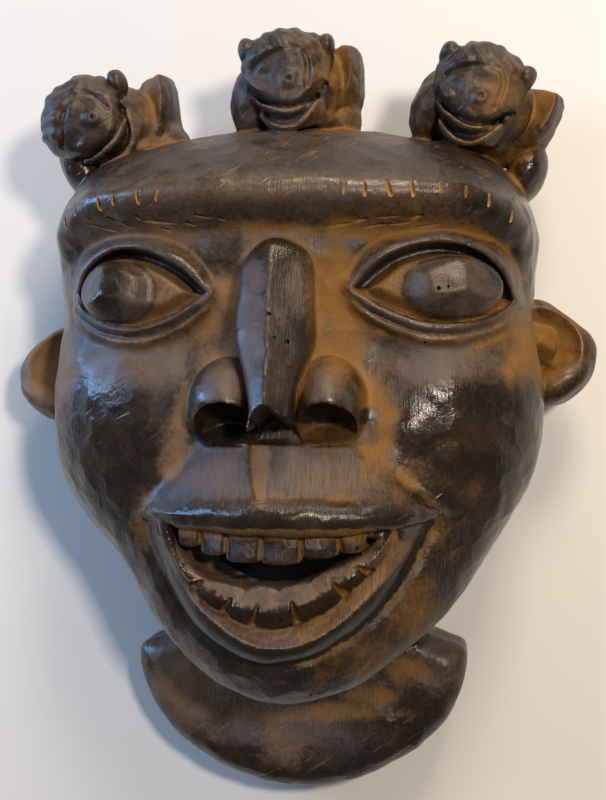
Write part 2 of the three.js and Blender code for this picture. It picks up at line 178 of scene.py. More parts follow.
# %% Bare face
HEAD_OUTLINE = [
    [0, 151], [14, 154], [25, 160], [36, 170], [45, 171.5], [54, 164.5], [62, 152], [72, 139],
    [90, 138], [106, 138], [120, 136], [131, 137], [143, 143], [155, 149], [167, 158], [180, 163],
]
LEFT_JAW = {"bearing": 137, "trim": 9, "spread": 15}
WIDEST_HEIGHT = [[0, 60], [50, 64], [90, 72], [120, 78], [150, 100], [180, 112]]
RIM_SHARE = [[0, 0.96], [90, 0.955], [130, 0.94], [155, 0.88], [180, 0.84]]
FACE_HEIGHT = [
    [-170, 158], [-120, 157], [-60, 150], [-25, 140], [0, 136], [60, 136], [88, 146], [160, 148],
]
CHEEK_HEIGHT = 136.0
MUZZLE_HALF_WIDTH = 62.0
CHEEKBONE = {"cx": 92, "cy": -8, "rise": 5, "reach": 36}
DIP_BESIDE_NOSE = {"cx": 48, "cy": 26, "rise": -6, "reach": 22}
STEEPEST = 1 / 70


def bearing(x, y):
    return np.degrees(np.arctan2(np.abs(x), y))


def outline_radius(x, y):
    turn = bearing(x, y)
    slim = LEFT_JAW["trim"] * bell(turn - LEFT_JAW["bearing"], LEFT_JAW["spread"])
    return along(HEAD_OUTLINE, turn) - np.where(x < 0, slim, 0)


def bump(x, y, cx, cy, rise, reach):
    return rise * np.exp(-((np.abs(x) - cx) ** 2 + (y - cy) ** 2) / reach**2)


def face_top(x, y):
    crest = CHEEK_HEIGHT + (along(FACE_HEIGHT, y) - CHEEK_HEIGHT) * bell(x, MUZZLE_HALF_WIDTH)
    return crest + bump(x, y, **CHEEKBONE) + bump(x, y, **DIP_BESIDE_NOSE)


def dome_height(x, y, top):
    share = np.minimum(1, np.hypot(x, y) / outline_radius(x, y))
    low = along(WIDEST_HEIGHT, bearing(x, y))
    return low + (top - low) * np.sqrt(1 - share**3)


def face_height(x, y):
    return dome_height(x, y, face_top(x, y))


def dome(x, y, z, top, inset=0.0, foot=0.0):
    # Distance to the head's dome: round above its widest line, tucked in below it.
    reach = outline_radius(x, y) - inset
    turn = bearing(x, y)
    low = np.maximum(along(WIDEST_HEIGHT, turn) - inset, foot + 1)
    rim = along(RIM_SHARE, turn)
    reach, low, rim, top = (np.asarray(v, np.float32) for v in (reach, low, rim, top - inset))
    far = np.hypot(x, y).astype(np.float32) / reach
    under = np.clip((low - z) / (low - foot), 0, 1)
    share = 1 - (1 - rim) * under**2 * (3 - 2 * under)
    up = np.maximum(z - low, 0) / (top - low)
    ratio = far / share
    fullness = up**2 + ratio**3 - 1
    steep = np.sqrt((2 * up / (top - low)) ** 2 + (3 * ratio**2 / (share * reach)) ** 2)
    return fullness / np.maximum(steep, STEEPEST)


print("cheek stands", round(float(face_height(np.array(90.0), np.array(-8.0))), 1), "mm high")

# %% [markdown]
# ## Lines on the face
# Eyelids, lips and the small animals' mouths are lines drawn on the face and then cut.
# A few points are joined by a smooth curve, and every place on the face can then be asked
# how near the line is and whether it lies inside a closed one.

# %% Lines on the face
def smooth_line(points, count):
    # Evenly many steps between each two points of a curve that runs through all of them.
    p = np.array(points, float)
    p = np.vstack([2 * p[0] - p[1], p, 2 * p[-1] - p[-2]])
    t = np.linspace(0, len(p) - 3, count)
    i = np.minimum(t.astype(int), len(p) - 4)
    f = (t - i)[:, None]
    a, b, c, d = p[i], p[i + 1], p[i + 2], p[i + 3]
    curve = 2 * b + (c - a) * f + (2 * a - 5 * b + 4 * c - d) * f**2
    return 0.5 * (curve + (3 * b - a - 3 * c + d) * f**3)


def flat_distance(x, y, line, closed=False):
    # Distance in the drawing plane to a line, and how far along it that is, 0 to 1.
    line = np.vstack([line, line[:1]]) if closed else line
    shape = np.broadcast(x, y).shape
    best, where = np.full(shape, 1e9), np.zeros(shape)
    for i, (a, b) in enumerate(zip(line[:-1], line[1:])):
        ab = b - a
        t = np.clip(((x - a[0]) * ab[0] + (y - a[1]) * ab[1]) / max(ab @ ab, 1e-9), 0, 1)
        gap = np.hypot(x - a[0] - t * ab[0], y - a[1] - t * ab[1])
        nearer = gap < best
        best = np.where(nearer, gap, best)
        where = np.where(nearer, (i + t) / (len(line) - 1), where)
    return best, where


def inside_outline(x, y, line):
    within = np.zeros(np.broadcast(x, y).shape, bool)
    for a, b in zip(line, np.roll(line, -1, 0)):
        crosses = (a[1] > y) != (b[1] > y)
        at = a[0] + (y - a[1]) * (b[0] - a[0]) / (b[1] - a[1] if b[1] != a[1] else 1e-9)
        within ^= crosses & (x < at)
    return within


print("three points make a curve of", len(smooth_line([(0, 0), (1, 1), (2, 0)], 9)), "points")

# %% [markdown]
# ## Eyes
# Each eye is an almond opening between two lids. The upper lid is a broad band that rises
# to a crest just above the opening, and the lower lid is two thin ridges with a groove
# between them. All of this is low relief, so it is a height added to the face: the
# distance from the almond's edge decides how high the wood stands.

# %% Eye relief
EYES = [
    {
        "side": -1,
        "upper": [
            (-40, 56), (-52, 67.5), (-68, 76.5), (-84, 80), (-98, 76.5), (-108, 69), (-113.5, 57),
        ],
        "lower": [
            (-113.5, 57), (-108.5, 48), (-96, 41), (-78, 38.5), (-62, 43), (-49, 50), (-40, 56),
        ],
        "ball": (-87.5, 57, 23, 18.5),
    },
    {
        "side": 1,
        "upper": [(37, 58), (48, 69), (62, 77.5), (82, 81.5), (101, 77.5), (114, 66.5), (120, 53)],
        "lower": [
            (120, 53), (113, 46.5), (100, 41.5), (86, 39.5), (72, 40.5), (57, 46), (46, 51.5),
            (37, 58),
        ],
        "ball": (87, 58.5, 28, 18),
    },
]
LID_POINTS = 28
LID_RISE, LID_WIDTH, LID_LEAST = 7.0, 11.0, 5.0
FIRST_RIDGE, SECOND_RIDGE, LOWER_SKIRT = 4.6, 2.6, 2.0


def eye_lines(eye):
    upper, lower = (smooth_line(eye[lid], LID_POINTS) for lid in ("upper", "lower"))
    return upper, lower, np.vstack([upper[:-1], lower[:-1]])


def almond_edge(x, y, almond):
    # Distance from the edge of the opening, less than zero inside it.
    gap, _ = flat_distance(x, y, almond, closed=True)
    return np.where(inside_outline(x, y, almond), -gap, gap)


def eye_relief(x, y, eye):
    upper, lower, almond = eye_lines(eye)
    edge = almond_edge(x, y, almond)
    gap_up, at_up = flat_distance(x, y, upper)
    gap_low, at_low = flat_distance(x, y, lower)
    over = smoothstep(-1.5, 1.5, gap_low - gap_up)
    # Both lids thin out at the corners of the eye.
    ends = np.sin(np.pi * np.clip(np.where(gap_up < gap_low, at_up, at_low), 0.03, 0.97)) ** 0.5
    wide = LID_LEAST + (LID_WIDTH - LID_LEAST) * ends
    band = smoothstep(-1.8, 1.2, edge) * (1 - smoothstep(1.5, wide, edge) ** 1.3)
    upper_lid = LID_RISE * (0.55 + 0.45 * ends) * band - 1.2 * bell(edge - wide - 1, 1.6)
    first = bell(edge - 2.0, 2.6) * FIRST_RIDGE
    second = bell(edge - 8.5 * (0.5 + 0.5 * ends), 2.4) * SECOND_RIDGE
    skirt = LOWER_SKIRT * smoothstep(-1, 1, edge) * (1 - smoothstep(7, 12, edge))
    lower_lid = (first + second) * (0.5 + 0.5 * ends) + skirt - 0.8 * bell(edge - 5, 1.2)
    # A groove runs inside each lid and the wood rises from it to the eyeball.
    deep = np.maximum(-edge, 0)
    low_groove = -4.5 * smoothstep(0.5, 2.2, deep) + 7.0 * smoothstep(2.0, 9.0, deep)
    high_groove = -7.0 * smoothstep(0.2, 1.6, deep) + 9.5 * smoothstep(3.5, 10.0, deep)
    socket = over * high_groove + (1 - over) * low_groove
    return over * upper_lid + (1 - over) * lower_lid + socket


print(len(EYES), "eyes, with lids of", LID_POINTS, "points")

# %% [markdown]
# ## Carve the head
# The relief of the lids is added to the height of the face before the distance is worked
# out. The forehead is a higher dome cut by a slanted plane, which leaves the sharp brow.

# %% Head field
FOREHEAD_HEIGHT = 180.0
FOREHEAD_SWELL = 0.8
BROW_Y, BROW_DROP, BROW_REACH, BROW_SLANT = 105.0, 26.0, 133.0, 0.78
BROW_ROUND = 11.0


def brow_line(x):
    return BROW_Y - BROW_DROP * np.minimum(1.4, (np.abs(x) / BROW_REACH) ** 8)


flat_x, flat_y = gx[:, :, 0].astype(float), gy[:, :, 0].astype(float)
relief = sum(eye_relief(flat_x, flat_y, eye) for eye in EYES)
share = np.minimum(1, np.hypot(flat_x, flat_y) / outline_radius(flat_x, flat_y))
lift = relief / np.sqrt(np.clip(1 - share**3, 0.12, 1))
wood = dome(gx, gy, gz, (face_top(flat_x, flat_y) + lift)[:, :, None])

high_top = np.full_like(flat_x, FOREHEAD_HEIGHT)[:, :, None]
forehead = dome(gx, gy, gz, high_top, inset=-FOREHEAD_SWELL)
edge_y = brow_line(flat_x[:, 0])
edge_z = dome_height(flat_x[:, 0], edge_y, FOREHEAD_HEIGHT)
under_brow = edge_y[:, None, None] - gy + BROW_SLANT * (gz - edge_z[:, None, None])
under_brow = (under_brow / math.hypot(1, BROW_SLANT)).astype(np.float32)
wood = smooth_min(wood, smooth_max(forehead, under_brow, BROW_ROUND), 4.0)
del forehead, under_brow
print("head carved; the lids rise by up to", round(float(relief.max()), 1), "mm")

# %% [markdown]
# ## Eyeballs
# The eyeballs were left standing inside the lids and trimmed with a few flat knife cuts,
# so each one is an egg with planes taken off it. The same egg makes wings, ears and
# animals further on.

# %% Eggs
def turned(x, y, degrees):
    c, s = math.cos(math.radians(degrees)), math.sin(math.radians(degrees))
    return c * x + s * y, c * y - s * x


def egg(x, y, z, centre, half, turn=0.0, lean=0.0):
    # Distance to an egg-shaped lump, turned about Z and then leaned about Y, in degrees.
    px, py, pz = x - centre[0], y - centre[1], z - centre[2]
    if turn:
        px, py = turned(px, py, turn)
    if lean:
        px, pz = turned(px, pz, -lean)
    near = np.sqrt((px / half[0]) ** 2 + (py / half[1]) ** 2 + (pz / half[2]) ** 2)
    steep = (px / half[0] ** 2) ** 2 + (py / half[1] ** 2) ** 2 + (pz / half[2] ** 2) ** 2
    return near * (near - 1) / np.maximum(np.sqrt(steep), 1e-5)


def lump_group(x, y, z, lumps, k):
    eggs = (egg(x, y, z, centre, half) for centre, half in lumps)
    return functools.reduce(lambda a, b: smooth_min(a, b, k), eggs)


print("distance at an egg's own end:", round(float(egg(9.0, 0.0, 0.0, (0, 0, 0), (9, 5, 5))), 3))

# %% Eyeballs
BALL_RISE, BALL_DEPTH, BALL_LEAN = 15.0, 20.0, 14.0
# Each knife cut: the way it faces and how far out it lies, as a share of the ball.
BALL_CUTS = [
    (-0.18, 0.30, 0.93, 0.88), (0.58, 0.24, 0.78, 0.84), (-0.78, 0.1, 0.6, 0.90),
    (0.1, -0.62, 0.78, 0.88), (-0.5, 0.75, 0.5, 0.9),
]


def eyeball(x, y, z, eye):
    cx, cy, half_x, half_y = eye["ball"]
    cz = float(face_height(np.array(float(cx)), np.array(float(cy)))) + BALL_RISE - BALL_DEPTH
    lean = eye["side"] * BALL_LEAN
    whole = egg(x, y, z, (cx, cy, cz), (half_x, half_y, BALL_DEPTH), lean=lean)
    px, pz = turned(x - cx, z - cz, -lean)
    px, py, pz = px / half_x, (y - cy) / half_y, pz / BALL_DEPTH
    for nx, ny, nz, far in BALL_CUTS:
        size = math.sqrt(nx * nx + ny * ny + nz * nz)
        plane = (px * nx * eye["side"] + py * ny + pz * nz) / size - far
        whole = smooth_max(whole, plane * min(half_x, half_y), 1.0)
    return whole


for eye in EYES:
    cx, cy = eye["ball"][:2]
    low, high = (cx - 34, cy - 26, 80), (cx + 34, cy + 26, 170)
    join(wood, low, high, functools.partial(eyeball, eye=eye), 2.5)
print("eyeballs with", len(BALL_CUTS), "knife cuts each")

# %% [markdown]
# ## Nose
# The nose is a straight bar with a ridge along it, cut off under the tip by a slanted
# plane. Each wing is a rounded lump hollowed by a deep nostril.

# %% Nose
NOSE = {
    "x": -2.0, "ridge": -3.5, "half": 19.0, "narrow": 8.5,
    "top": 84.5, "tip": -5.0, "end": -16.0, "top_z": 150.0, "tip_z": 186.0,
}
WINGS = [
    {"x": -28.0, "half": (21.0, 26.0, 36.0), "hole": (-27.5, 17.5)},
    {"x": 24.5, "half": (19.5, 26.0, 36.0), "hole": (24.5, 16.0)},
]
WING_Y, WING_Z, WING_FLOOR = -3.0, 132.0, -23.0
NOSTRIL_Y, NOSTRIL_Z, NOSTRIL_TALL, NOSTRIL_DEEP = -21.0, 154.0, 21.5, 27.0
UNDERSIDE = ((-7.5, 184.0), (-13.0, 147.0))
TIP_SCOOP = 5.0
NEVER_CUT = 40.0


def underside(y, z):
    (y0, z0), (y1, z1) = UNDERSIDE
    length = math.hypot(y1 - y0, z1 - z0)
    return ((y - y0) * (z1 - z0) - (z - z0) * (y1 - y0)) / length


def nose_bar(x, y, z):
    t = np.clip((NOSE["top"] - y) / (NOSE["top"] - NOSE["tip"]), 0, 1.2)
    ridge_z = NOSE["top_z"] + (NOSE["tip_z"] - NOSE["top_z"]) * t**0.9
    steep = 0.42 + 0.22 * np.clip(t, 0, 1)
    left = (z - ridge_z - steep * (x - NOSE["ridge"])) * 0.88
    right = (z - ridge_z + (steep + 0.08) * (x - NOSE["ridge"])) * 0.86
    half = NOSE["half"] * (0.86 + 0.14 * np.clip(t * 3, 0, 1))
    half = half - NOSE["narrow"] * smoothstep(0.55, 1.0, t)
    side = np.abs(x - NOSE["x"]) - half - 0.16 * (ridge_z - z)
    arch_y = np.maximum(y - (NOSE["top"] - NOSE["half"] * 0.9), 0)
    arch = np.hypot(x - NOSE["x"], arch_y) - half
    top = smooth_max(left, right, 1.4)
    return trimmed(top, (smooth_max(side, arch, 2.0), 6.0), (NOSE["end"] - y, 2.0))


def nostril(x, y, z, wing):
    cx, half = wing["hole"]
    arch = egg(x, y, z, (cx, NOSTRIL_Y, NOSTRIL_Z), (half, NOSTRIL_TALL, NOSTRIL_DEEP))
    floor = (-17.0 - 0.42 * (z - 138.0)) - y
    return smooth_max(arch, floor, 2.0)


def nose_whole(x, y, z):
    body = nose_bar(x, y, z)
    for wing in WINGS:
        body = smooth_min(body, egg(x, y, z, (wing["x"], WING_Y, WING_Z), wing["half"]), 1.5)
    overhang = underside(y - TIP_SCOOP * bell(x - NOSE["ridge"], 5.0) + 0.5, z)
    off_the_tip = smoothstep(9.0, 14.0, np.abs(x + 1.0)) * NEVER_CUT
    body = trimmed(body, (overhang - off_the_tip, 1.5), (WING_FLOOR - y, 0.8))
    return trimmed(body, *((-nostril(x, y, z, wing), 1.2) for wing in WINGS))


join(wood, (-54, -27, 110), (54, 90, 188), nose_whole, 2.5)
for wing in WINGS:
    cx = wing["hole"][0]
    hole = functools.partial(nostril, wing=wing)
    carve(wood, (cx - 20, -26, 118), (cx + 20, 4, 188), hole, 1.2)
print("nose stands", NOSE["tip_z"], "mm high at its tip")

# %% [markdown]
# ## Mouth
# The upper lip slopes forward to a rolled edge with a small groove under the nose. The
# mouth is a bowl cut behind it. The upper teeth hang from the lip, and the lower teeth
# stand on a crescent ledge inside the bow of the lower lip.

# %% Upper lip
LIP_TOP = {"left": -48.0, "right": 47.0, "y": -23.0, "z": 150.0}
LIP_EDGE = {"left": -70.0, "right": 78.0, "y": -59.0, "z": 170.5}
LIP_ROUND, LIP_CORNER_DROP = 20.0, 12.0
LEAF_DEPTH = 2.4


def leaf_sides(down):
    # The groove under the nose is a leaf that ends in a point on the lip's edge.
    return -14.9 + 9.6 * down**2.5, -4.2 - 0.9 * down


def upper_lip(x, y, z):
    down = np.clip((LIP_TOP["y"] - y) / (LIP_TOP["y"] - LIP_EDGE["y"]), -0.1, 1.1)
    left, right, ridge = (
        LIP_TOP[key] + (LIP_EDGE[key] - LIP_TOP[key]) * down for key in ("left", "right", "z")
    )
    middle, reach = (left + right) / 2, (right - left) / 2
    across = np.clip((x - middle) / reach, -1.4, 1.4)
    drop = LIP_ROUND * across**2 * (0.6 + 0.6 * down)
    drop = drop + LIP_CORNER_DROP * smoothstep(0.72, 1.3, np.abs(across))
    left_side, right_side = leaf_sides(np.clip(down, 0, 1))
    across_leaf = (x - left_side) / np.maximum(right_side - left_side, 0.5)
    # The leaf has a steep left wall and a gentle right one, and it runs out at the edge.
    leaf = LEAF_DEPTH * (1 - np.clip(down, 0, 0.97) ** 2) ** 0.4
    leaf = leaf * np.clip(across_leaf * 8, 0, 1) * np.clip(1 - across_leaf, 0, 1)
    skin = (z - (ridge - drop) + leaf) * 0.86
    sides = (np.abs(x - middle) - reach - 3 + 0.45 * (z - 134.0)) * 0.9
    return trimmed(skin, (sides, 7.0), (y - LIP_TOP["y"], 0.5), (LIP_EDGE["y"] - y, 1.0))


join(wood, (-82, -72, 100), (92, -18, 186), upper_lip, 4.0)
print("upper lip is", LIP_EDGE["right"] - LIP_EDGE["left"], "mm wide")

# %% [markdown]
# Inside the bow everything turns round one middle point, so the depth is drawn as a
# profile along each ray from it: the dark floor, the ledge of the lower teeth with its
# lit top and steep front, the valley, the inner slope of the lip, its crest and the round
# roll outside. Each of these edges has its own reach at each bearing of the ray, counted
# from the right corner of the mouth.

# %% Edges of the mouth
MOUTH_MIDDLE = (0.0, -62.0)
MOUTH_FLOOR, LEDGE_TOP, VALLEY_FLOOR = 130.0, 156.5, 145.0
LEDGE_INNER = [
    [0, 53], [14, 48], [21, 45], [35, 38.5], [54, 34.2], [88, 34.2], [118, 38.5], [132, 43.5],
    [148, 50], [162, 54], [180, 57],
]
LEDGE_OUTER = [
    [0, 58], [18, 53.4], [30, 49], [47, 44.8], [64, 44], [83, 45.2], [97, 47], [110, 48.2],
    [127, 50], [139, 53], [154, 56.2], [180, 58],
]
VALLEY = [
    [0, 63], [18, 58], [35, 53.2], [51, 52.0], [68, 53.6], [85, 55.6], [95, 57], [106, 57.4],
    [120, 57], [135, 58], [156, 59.4], [180, 62],
]
LIP_CREST = [
    [0, 71], [12, 66.5], [26, 61.8], [43, 58.6], [62, 59.6], [79, 62.2], [95, 63.5],
    [108, 62.4], [122, 60.4], [138, 60.4], [156, 61.5], [180, 68],
]
LIP_OUTER = [
    [0, 77], [9, 73.5], [21, 69.5], [38, 67.5], [61, 68.5], [79, 71.8], [95, 74.5], [113, 73],
    [132, 71.5], [153, 71], [180, 74],
]
MOUTH_EDGES = (LEDGE_INNER, LEDGE_OUTER, VALLEY, LIP_CREST, LIP_OUTER)
TEETH_GAPS = [29.8, 48.0, 79.8, 104.0, 121.5, 142.0]
GAP_DEPTH, GAP_REACH = 5.5, 4.5
LOWER_LIP = {"x": 2.0, "half": 71.0, "z": 158.0, "fall": 26.0, "roll": 17.0}


def mouth_polar(x, y):
    dx, dy = x - MOUTH_MIDDLE[0], MOUTH_MIDDLE[1] - y
    return np.hypot(dx, dy), np.degrees(np.arctan2(dy, dx))


def mouth_edges(turn):
    return (along(table, turn) for table in MOUTH_EDGES)


def between(v, low, high):
    return np.clip((v - low) / np.maximum(high - low, 1), 0, 1)


def lip_height(x, lowered=0.0):
    off = np.minimum(np.abs((x - LOWER_LIP["x"]) / LOWER_LIP["half"]), 1)
    return LOWER_LIP["z"] - lowered - LOWER_LIP["fall"] * off**2.5


print("the mouth has", len(TEETH_GAPS), "gaps between its lower teeth")


# %% Lower teeth and lip
def mouth_height(x, y):
    out, turn = mouth_polar(x, y)
    inner, outer, valley, crest, _ = mouth_edges(turn)
    scallop = 3.6 * np.abs(np.sin(np.radians((turn - 8) * 180 / 27))) ** 0.7
    inner = inner - 0.2 - (scallop * bell(turn - 92, 50) - 1.5)
    fall = (np.abs(x) / 47.0) ** 2
    ledge = LEDGE_TOP - 5.5 * fall - 3.2 + 3.2 * between(out, inner, outer)
    height = MOUTH_FLOOR + (ledge - MOUTH_FLOOR) * smoothstep(inner - 3.0, inner, out)
    deep = VALLEY_FLOOR + 0.5 * fall
    height = height + (deep - height) * between(out, outer, valley) ** 0.9
    height = height + (lip_height(x, 0.5) - height) * between(out, valley, crest) ** 1.1
    for at in TEETH_GAPS:
        across = np.radians(turn - at) * out
        wedge = 0.6 + 2.4 * between(out, outer - GAP_REACH, valley)
        starts = smoothstep(outer - GAP_REACH - 1.0, outer - 1.0, out)
        ends = 1 - smoothstep(valley - 2.5, valley + 0.5, out)
        height = height - GAP_DEPTH * starts * ends * bell(across, wedge, 4)
    return height, out - crest


def lower_lip(x, y, z):
    # The outer roll: a quarter round from the crest down to the fold around the mouth.
    out, turn = mouth_polar(x, y)
    crest, outer = along(LIP_CREST, turn), along(LIP_OUTER, turn)
    across = between(out, crest - 1.5, outer)
    roll = lip_height(x) - LOWER_LIP["roll"] * (1 - np.sqrt(1 - across**2.2))
    inner_wall, back = crest - 3.0 - out, 118.0 - z
    skin = (z - roll) * 0.75
    return trimmed(skin, (out - outer, 2.5), (inner_wall, 1.0), (y + 60.0, 4.0), (back, 1.0))


def lip_fold(x, y, z):
    out, turn = mouth_polar(x, y)
    gap = np.hypot(out - along(LIP_OUTER, turn) - 1.5, z - face_height(x, y) - 0.5)
    return trimmed(gap - 3.0, (y + 66.0, 3.0))


def mouth_fill(x, y, z):
    height, edge = mouth_height(x, y)
    return trimmed((z - height) * 0.7, (edge, 1.0), (116.0 - z, 1.0), (y + 61.0, 1.0))


def mouth_cut(x, y, z):
    height, edge = mouth_height(x, y)
    return trimmed((height - z) * 0.7, (edge, 1.0), (y + 62.5, 0.5))


join(wood, (-84, -146, 100), (86, -56, 170), lower_lip, 2.0)
carve(wood, (-84, -146, 100), (86, -62, 170), lip_fold, 4.0)
carve(wood, (-74, -132, 120), (78, -60, 188), mouth_cut, 0.8)
join(wood, (-74, -132, 118), (78, -58, 170), mouth_fill, 0.8)
print("lower lip stands", LOWER_LIP["z"], "mm high")

# %% [markdown]
# The mask is pierced between the rows of teeth, for the wearer's breath and voice. The
# opening is a crescent, flat above and bowed below. A rod that thins towards the corners
# then makes the rolled edge of the upper lip.

# %% Opening and rolled edge
SLOT = {"left": -43.0, "right": 40.0, "top": -74.0, "bottom": -95.0}
ROLL_POINTS, ROLL_RADIUS, ROLL_END = 25, 9.8, 0.35
ROLL_MARGIN = 11


def slot(x, y, z):
    across = (2 * x - SLOT["left"] - SLOT["right"]) / (SLOT["right"] - SLOT["left"])
    bottom = SLOT["top"] + (SLOT["bottom"] - SLOT["top"]) * (1 - across**2)
    return trimmed((bottom - y) * 0.8, (y - SLOT["top"], 0.5), (np.abs(x + 1.5) - 42, 1))


def rope(x, y, z, line, radius):
    # Distance to a round rod along a line of points. radius has one value per point.
    rods = []
    for a, b, ra, rb in zip(line[:-1], line[1:], radius[:-1], radius[1:]):
        ab = b - a
        t = ((x - a[0]) * ab[0] + (y - a[1]) * ab[1] + (z - a[2]) * ab[2]) / max(ab @ ab, 1e-9)
        t = np.clip(t, 0, 1)
        px, py, pz = (v - a[i] - t * ab[i] for i, v in enumerate((x, y, z)))
        rods.append(np.sqrt(px**2 + py**2 + pz**2) - (ra + t * (rb - ra)))
    return functools.reduce(np.minimum, rods)


carve(wood, (-50, -108, 20), (48, -70, 188), slot, 1.0)
s = np.linspace(-1, 1, ROLL_POINTS)
roll_x = (LIP_EDGE["left"] + LIP_EDGE["right"]) / 2
roll_x = roll_x + s * ((LIP_EDGE["right"] - LIP_EDGE["left"]) / 2 - 1)
roll_y = LIP_EDGE["y"] + 0.6 - 0.8 * (1 - s**2)
roll_z = LIP_EDGE["z"] - 6.6 - 30.0 * s**2
roll_line = np.stack([roll_x, roll_y, roll_z], 1)
swell = np.sin(np.pi * np.linspace(0, 1, ROLL_POINTS)) ** 0.6
roll_radius = ROLL_RADIUS * (ROLL_END + (1 - ROLL_END) * swell)
lip_rod = functools.partial(rope, line=roll_line, radius=roll_radius)
join(wood, roll_line.min(0) - ROLL_MARGIN, roll_line.max(0) + ROLL_MARGIN, lip_rod, 1.5)
print("opening is", SLOT["right"] - SLOT["left"], "mm wide")

# %% [markdown]
# The upper teeth are square blocks in a bowed row. Each has its own width and length, its
# front is a little rounded, and pointed knife cuts part it from the next one.

# %% Upper teeth
UPPER_GAPS = [-52.5, -40.7, -26.7, -8.1, 12.0, 30.6, 44.1, 58.0]
UPPER_FEET = [-75.5, -79.5, -82.5, -83.0, -79.5, -77.5, -71.0]
UPPER_FRONT, UPPER_BOW, UPPER_ROOT = 161.5, 14.0, 128.0
GAP_SHIFT, UPPER_GAP_HALF, UPPER_GAP_LONG, UPPER_GAP_DEEP = 0.3, 2.2, 11.5, 4.0


def upper_row(x, y, z):
    band = z - (UPPER_FRONT - UPPER_BOW * (x / 51.0) ** 2 - 0.06 * (y + 60))
    teeth = []
    for left, right, foot in zip(UPPER_GAPS[:-1], UPPER_GAPS[1:], UPPER_FEET):
        middle, half = (left + right) / 2, (right - left) / 2
        round_foot = foot + 1.6 * ((x - middle) / half) ** 4
        round_front = band + 0.022 * (x - middle) ** 2
        sides = np.abs(x - middle) - half - 0.3
        teeth.append(trimmed(sides, (round_foot - y, 2.0), (round_front, 2.0)))
    body = functools.reduce(np.minimum, teeth)
    for gap, foot in zip(UPPER_GAPS[1:-1], np.minimum(UPPER_FEET[:-1], UPPER_FEET[1:])):
        up = (y - (foot + UPPER_GAP_LONG - 1)) / UPPER_GAP_LONG
        cut = np.abs(x - gap - GAP_SHIFT) - UPPER_GAP_HALF * np.clip(0.7 - 0.75 * up, -1, 1.2)
        cut = smooth_max(cut, -(band + UPPER_GAP_DEEP - 0.7 * np.abs(x - gap)), 0.8)
        body = smooth_max(body, -cut, 0.8)
    return trimmed(body, (y + 58.0, 0.5), (UPPER_ROOT - z, 1.0))


join(wood, (-60, -88, 126), (64, -56, 172), upper_row, 1.0)
print(len(UPPER_FEET), "upper teeth")

# %% [markdown]
# ## Ears
# Each ear is a thick round disc, cupped in front, with a small knob before the cup. The
# knob is an egg with four flats, and a short hole under it stands for the ear's opening.

# %% Ears
EARS = [
    {"x": -140.0, "y": 16.0, "half": 29.0, "knob": (-134.0, 19.0)},
    {"x": 139.0, "y": 27.0, "half": 31.0, "knob": (137.0, 33.0)},
]
EAR_Z, EAR_DEPTH = 40.0, 17.0
KNOB_CUTS = ((0.75, 0.35), (-0.75, 0.35), (0.1, -0.8), (0.2, 0.85))


def ear(x, y, z, one):
    ex, ey, half = one["x"], one["y"], one["half"]
    side = math.copysign(1, ex)
    disc = egg(x, y, z, (ex, ey, EAR_Z), (half, half, EAR_DEPTH))
    slant = side * (x - ex) * 0.62 + (y - ey) * 0.78 - half * 0.84
    cup_at = (ex - side * 3, ey + 4, EAR_Z + 16)
    cup = egg(x, y, z, cup_at, (half * 0.82, half * 0.78, 14.0))
    body = trimmed(disc, (slant, 6.0), (-cup, 2.0))
    lobe_at = (ex + side * 9, ey - half * 0.56, EAR_Z + 6)
    lobe = egg(x, y, z, lobe_at, (half * 0.68, half * 0.30, 12.0), turn=side * 32)
    body = smooth_min(body, lobe, 3.0)
    kx, ky = one["knob"]
    knob = egg(x, y, z, (kx, ky, EAR_Z + 4), (10.0, 15.0, 15.0))
    slope = (z - EAR_Z - 18.0) * 0.62
    for nx, ny in KNOB_CUTS:
        knob = smooth_max(knob, (x - kx) * nx * side + (y - ky) * ny + slope, 1.0)
    hole = egg(x, y, z, (kx + side * 2, ky - 14, EAR_Z + 12), (7.0, 4.0, 12.0))
    return trimmed(smooth_min(body, knob, 1.0), (-hole, 1.5))


for one in EARS:
    low, high = (one["x"] - 34, one["y"] - 34, 16), (one["x"] + 34, one["y"] + 34, 66)
    join(wood, low, high, functools.partial(ear, one=one), 2.0)
print(len(EARS), "ears")

# %% [markdown]
# ## Collar
# A thick crescent under the chin, rounded over its front edge, with blunt upper tips.

# %% Collar
COLLAR = {"y": -151.0, "half": 96.5, "depth": 75.5, "height": 47.0, "edge": 13.0}
COLLAR_ROUND, COLLAR_SPREAD, COLLAR_BEVEL = 1.9, 80.0, 9.0


def collar(x, y, z):
    px = np.abs(x) / COLLAR["half"]
    py = np.maximum(-(y - COLLAR["y"]), 0) / COLLAR["depth"]
    near = (px**COLLAR_ROUND + py**COLLAR_ROUND + 1e-9) ** (1 / COLLAR_ROUND)
    tips = (y - (COLLAR["y"] + 8 + 10 * smoothstep(96, 60, np.abs(x)))) * 0.95
    outer = smooth_max((near - 1) * COLLAR_SPREAD, tips, 6.0)
    over_edge = np.maximum(z - (COLLAR["height"] - COLLAR["edge"]), 0) / COLLAR["edge"]
    return smooth_max(outer + COLLAR_BEVEL * over_edge**2, z - COLLAR["height"], 3.0)


join(wood, (-102, -230, -6), (102, -100, 66), collar, 14.0)
print("collar is", 2 * COLLAR["half"], "mm wide")

# %% [markdown]
# ## Crouching animals
# Each animal is put together from the same lumps as the solid: a head with ears, brows,
# a snout and a grin, a body, a foreleg, a raised haunch and a hind foot. The knife work
# on the small faces is lines and spots that stand out of the wood or lie in it.

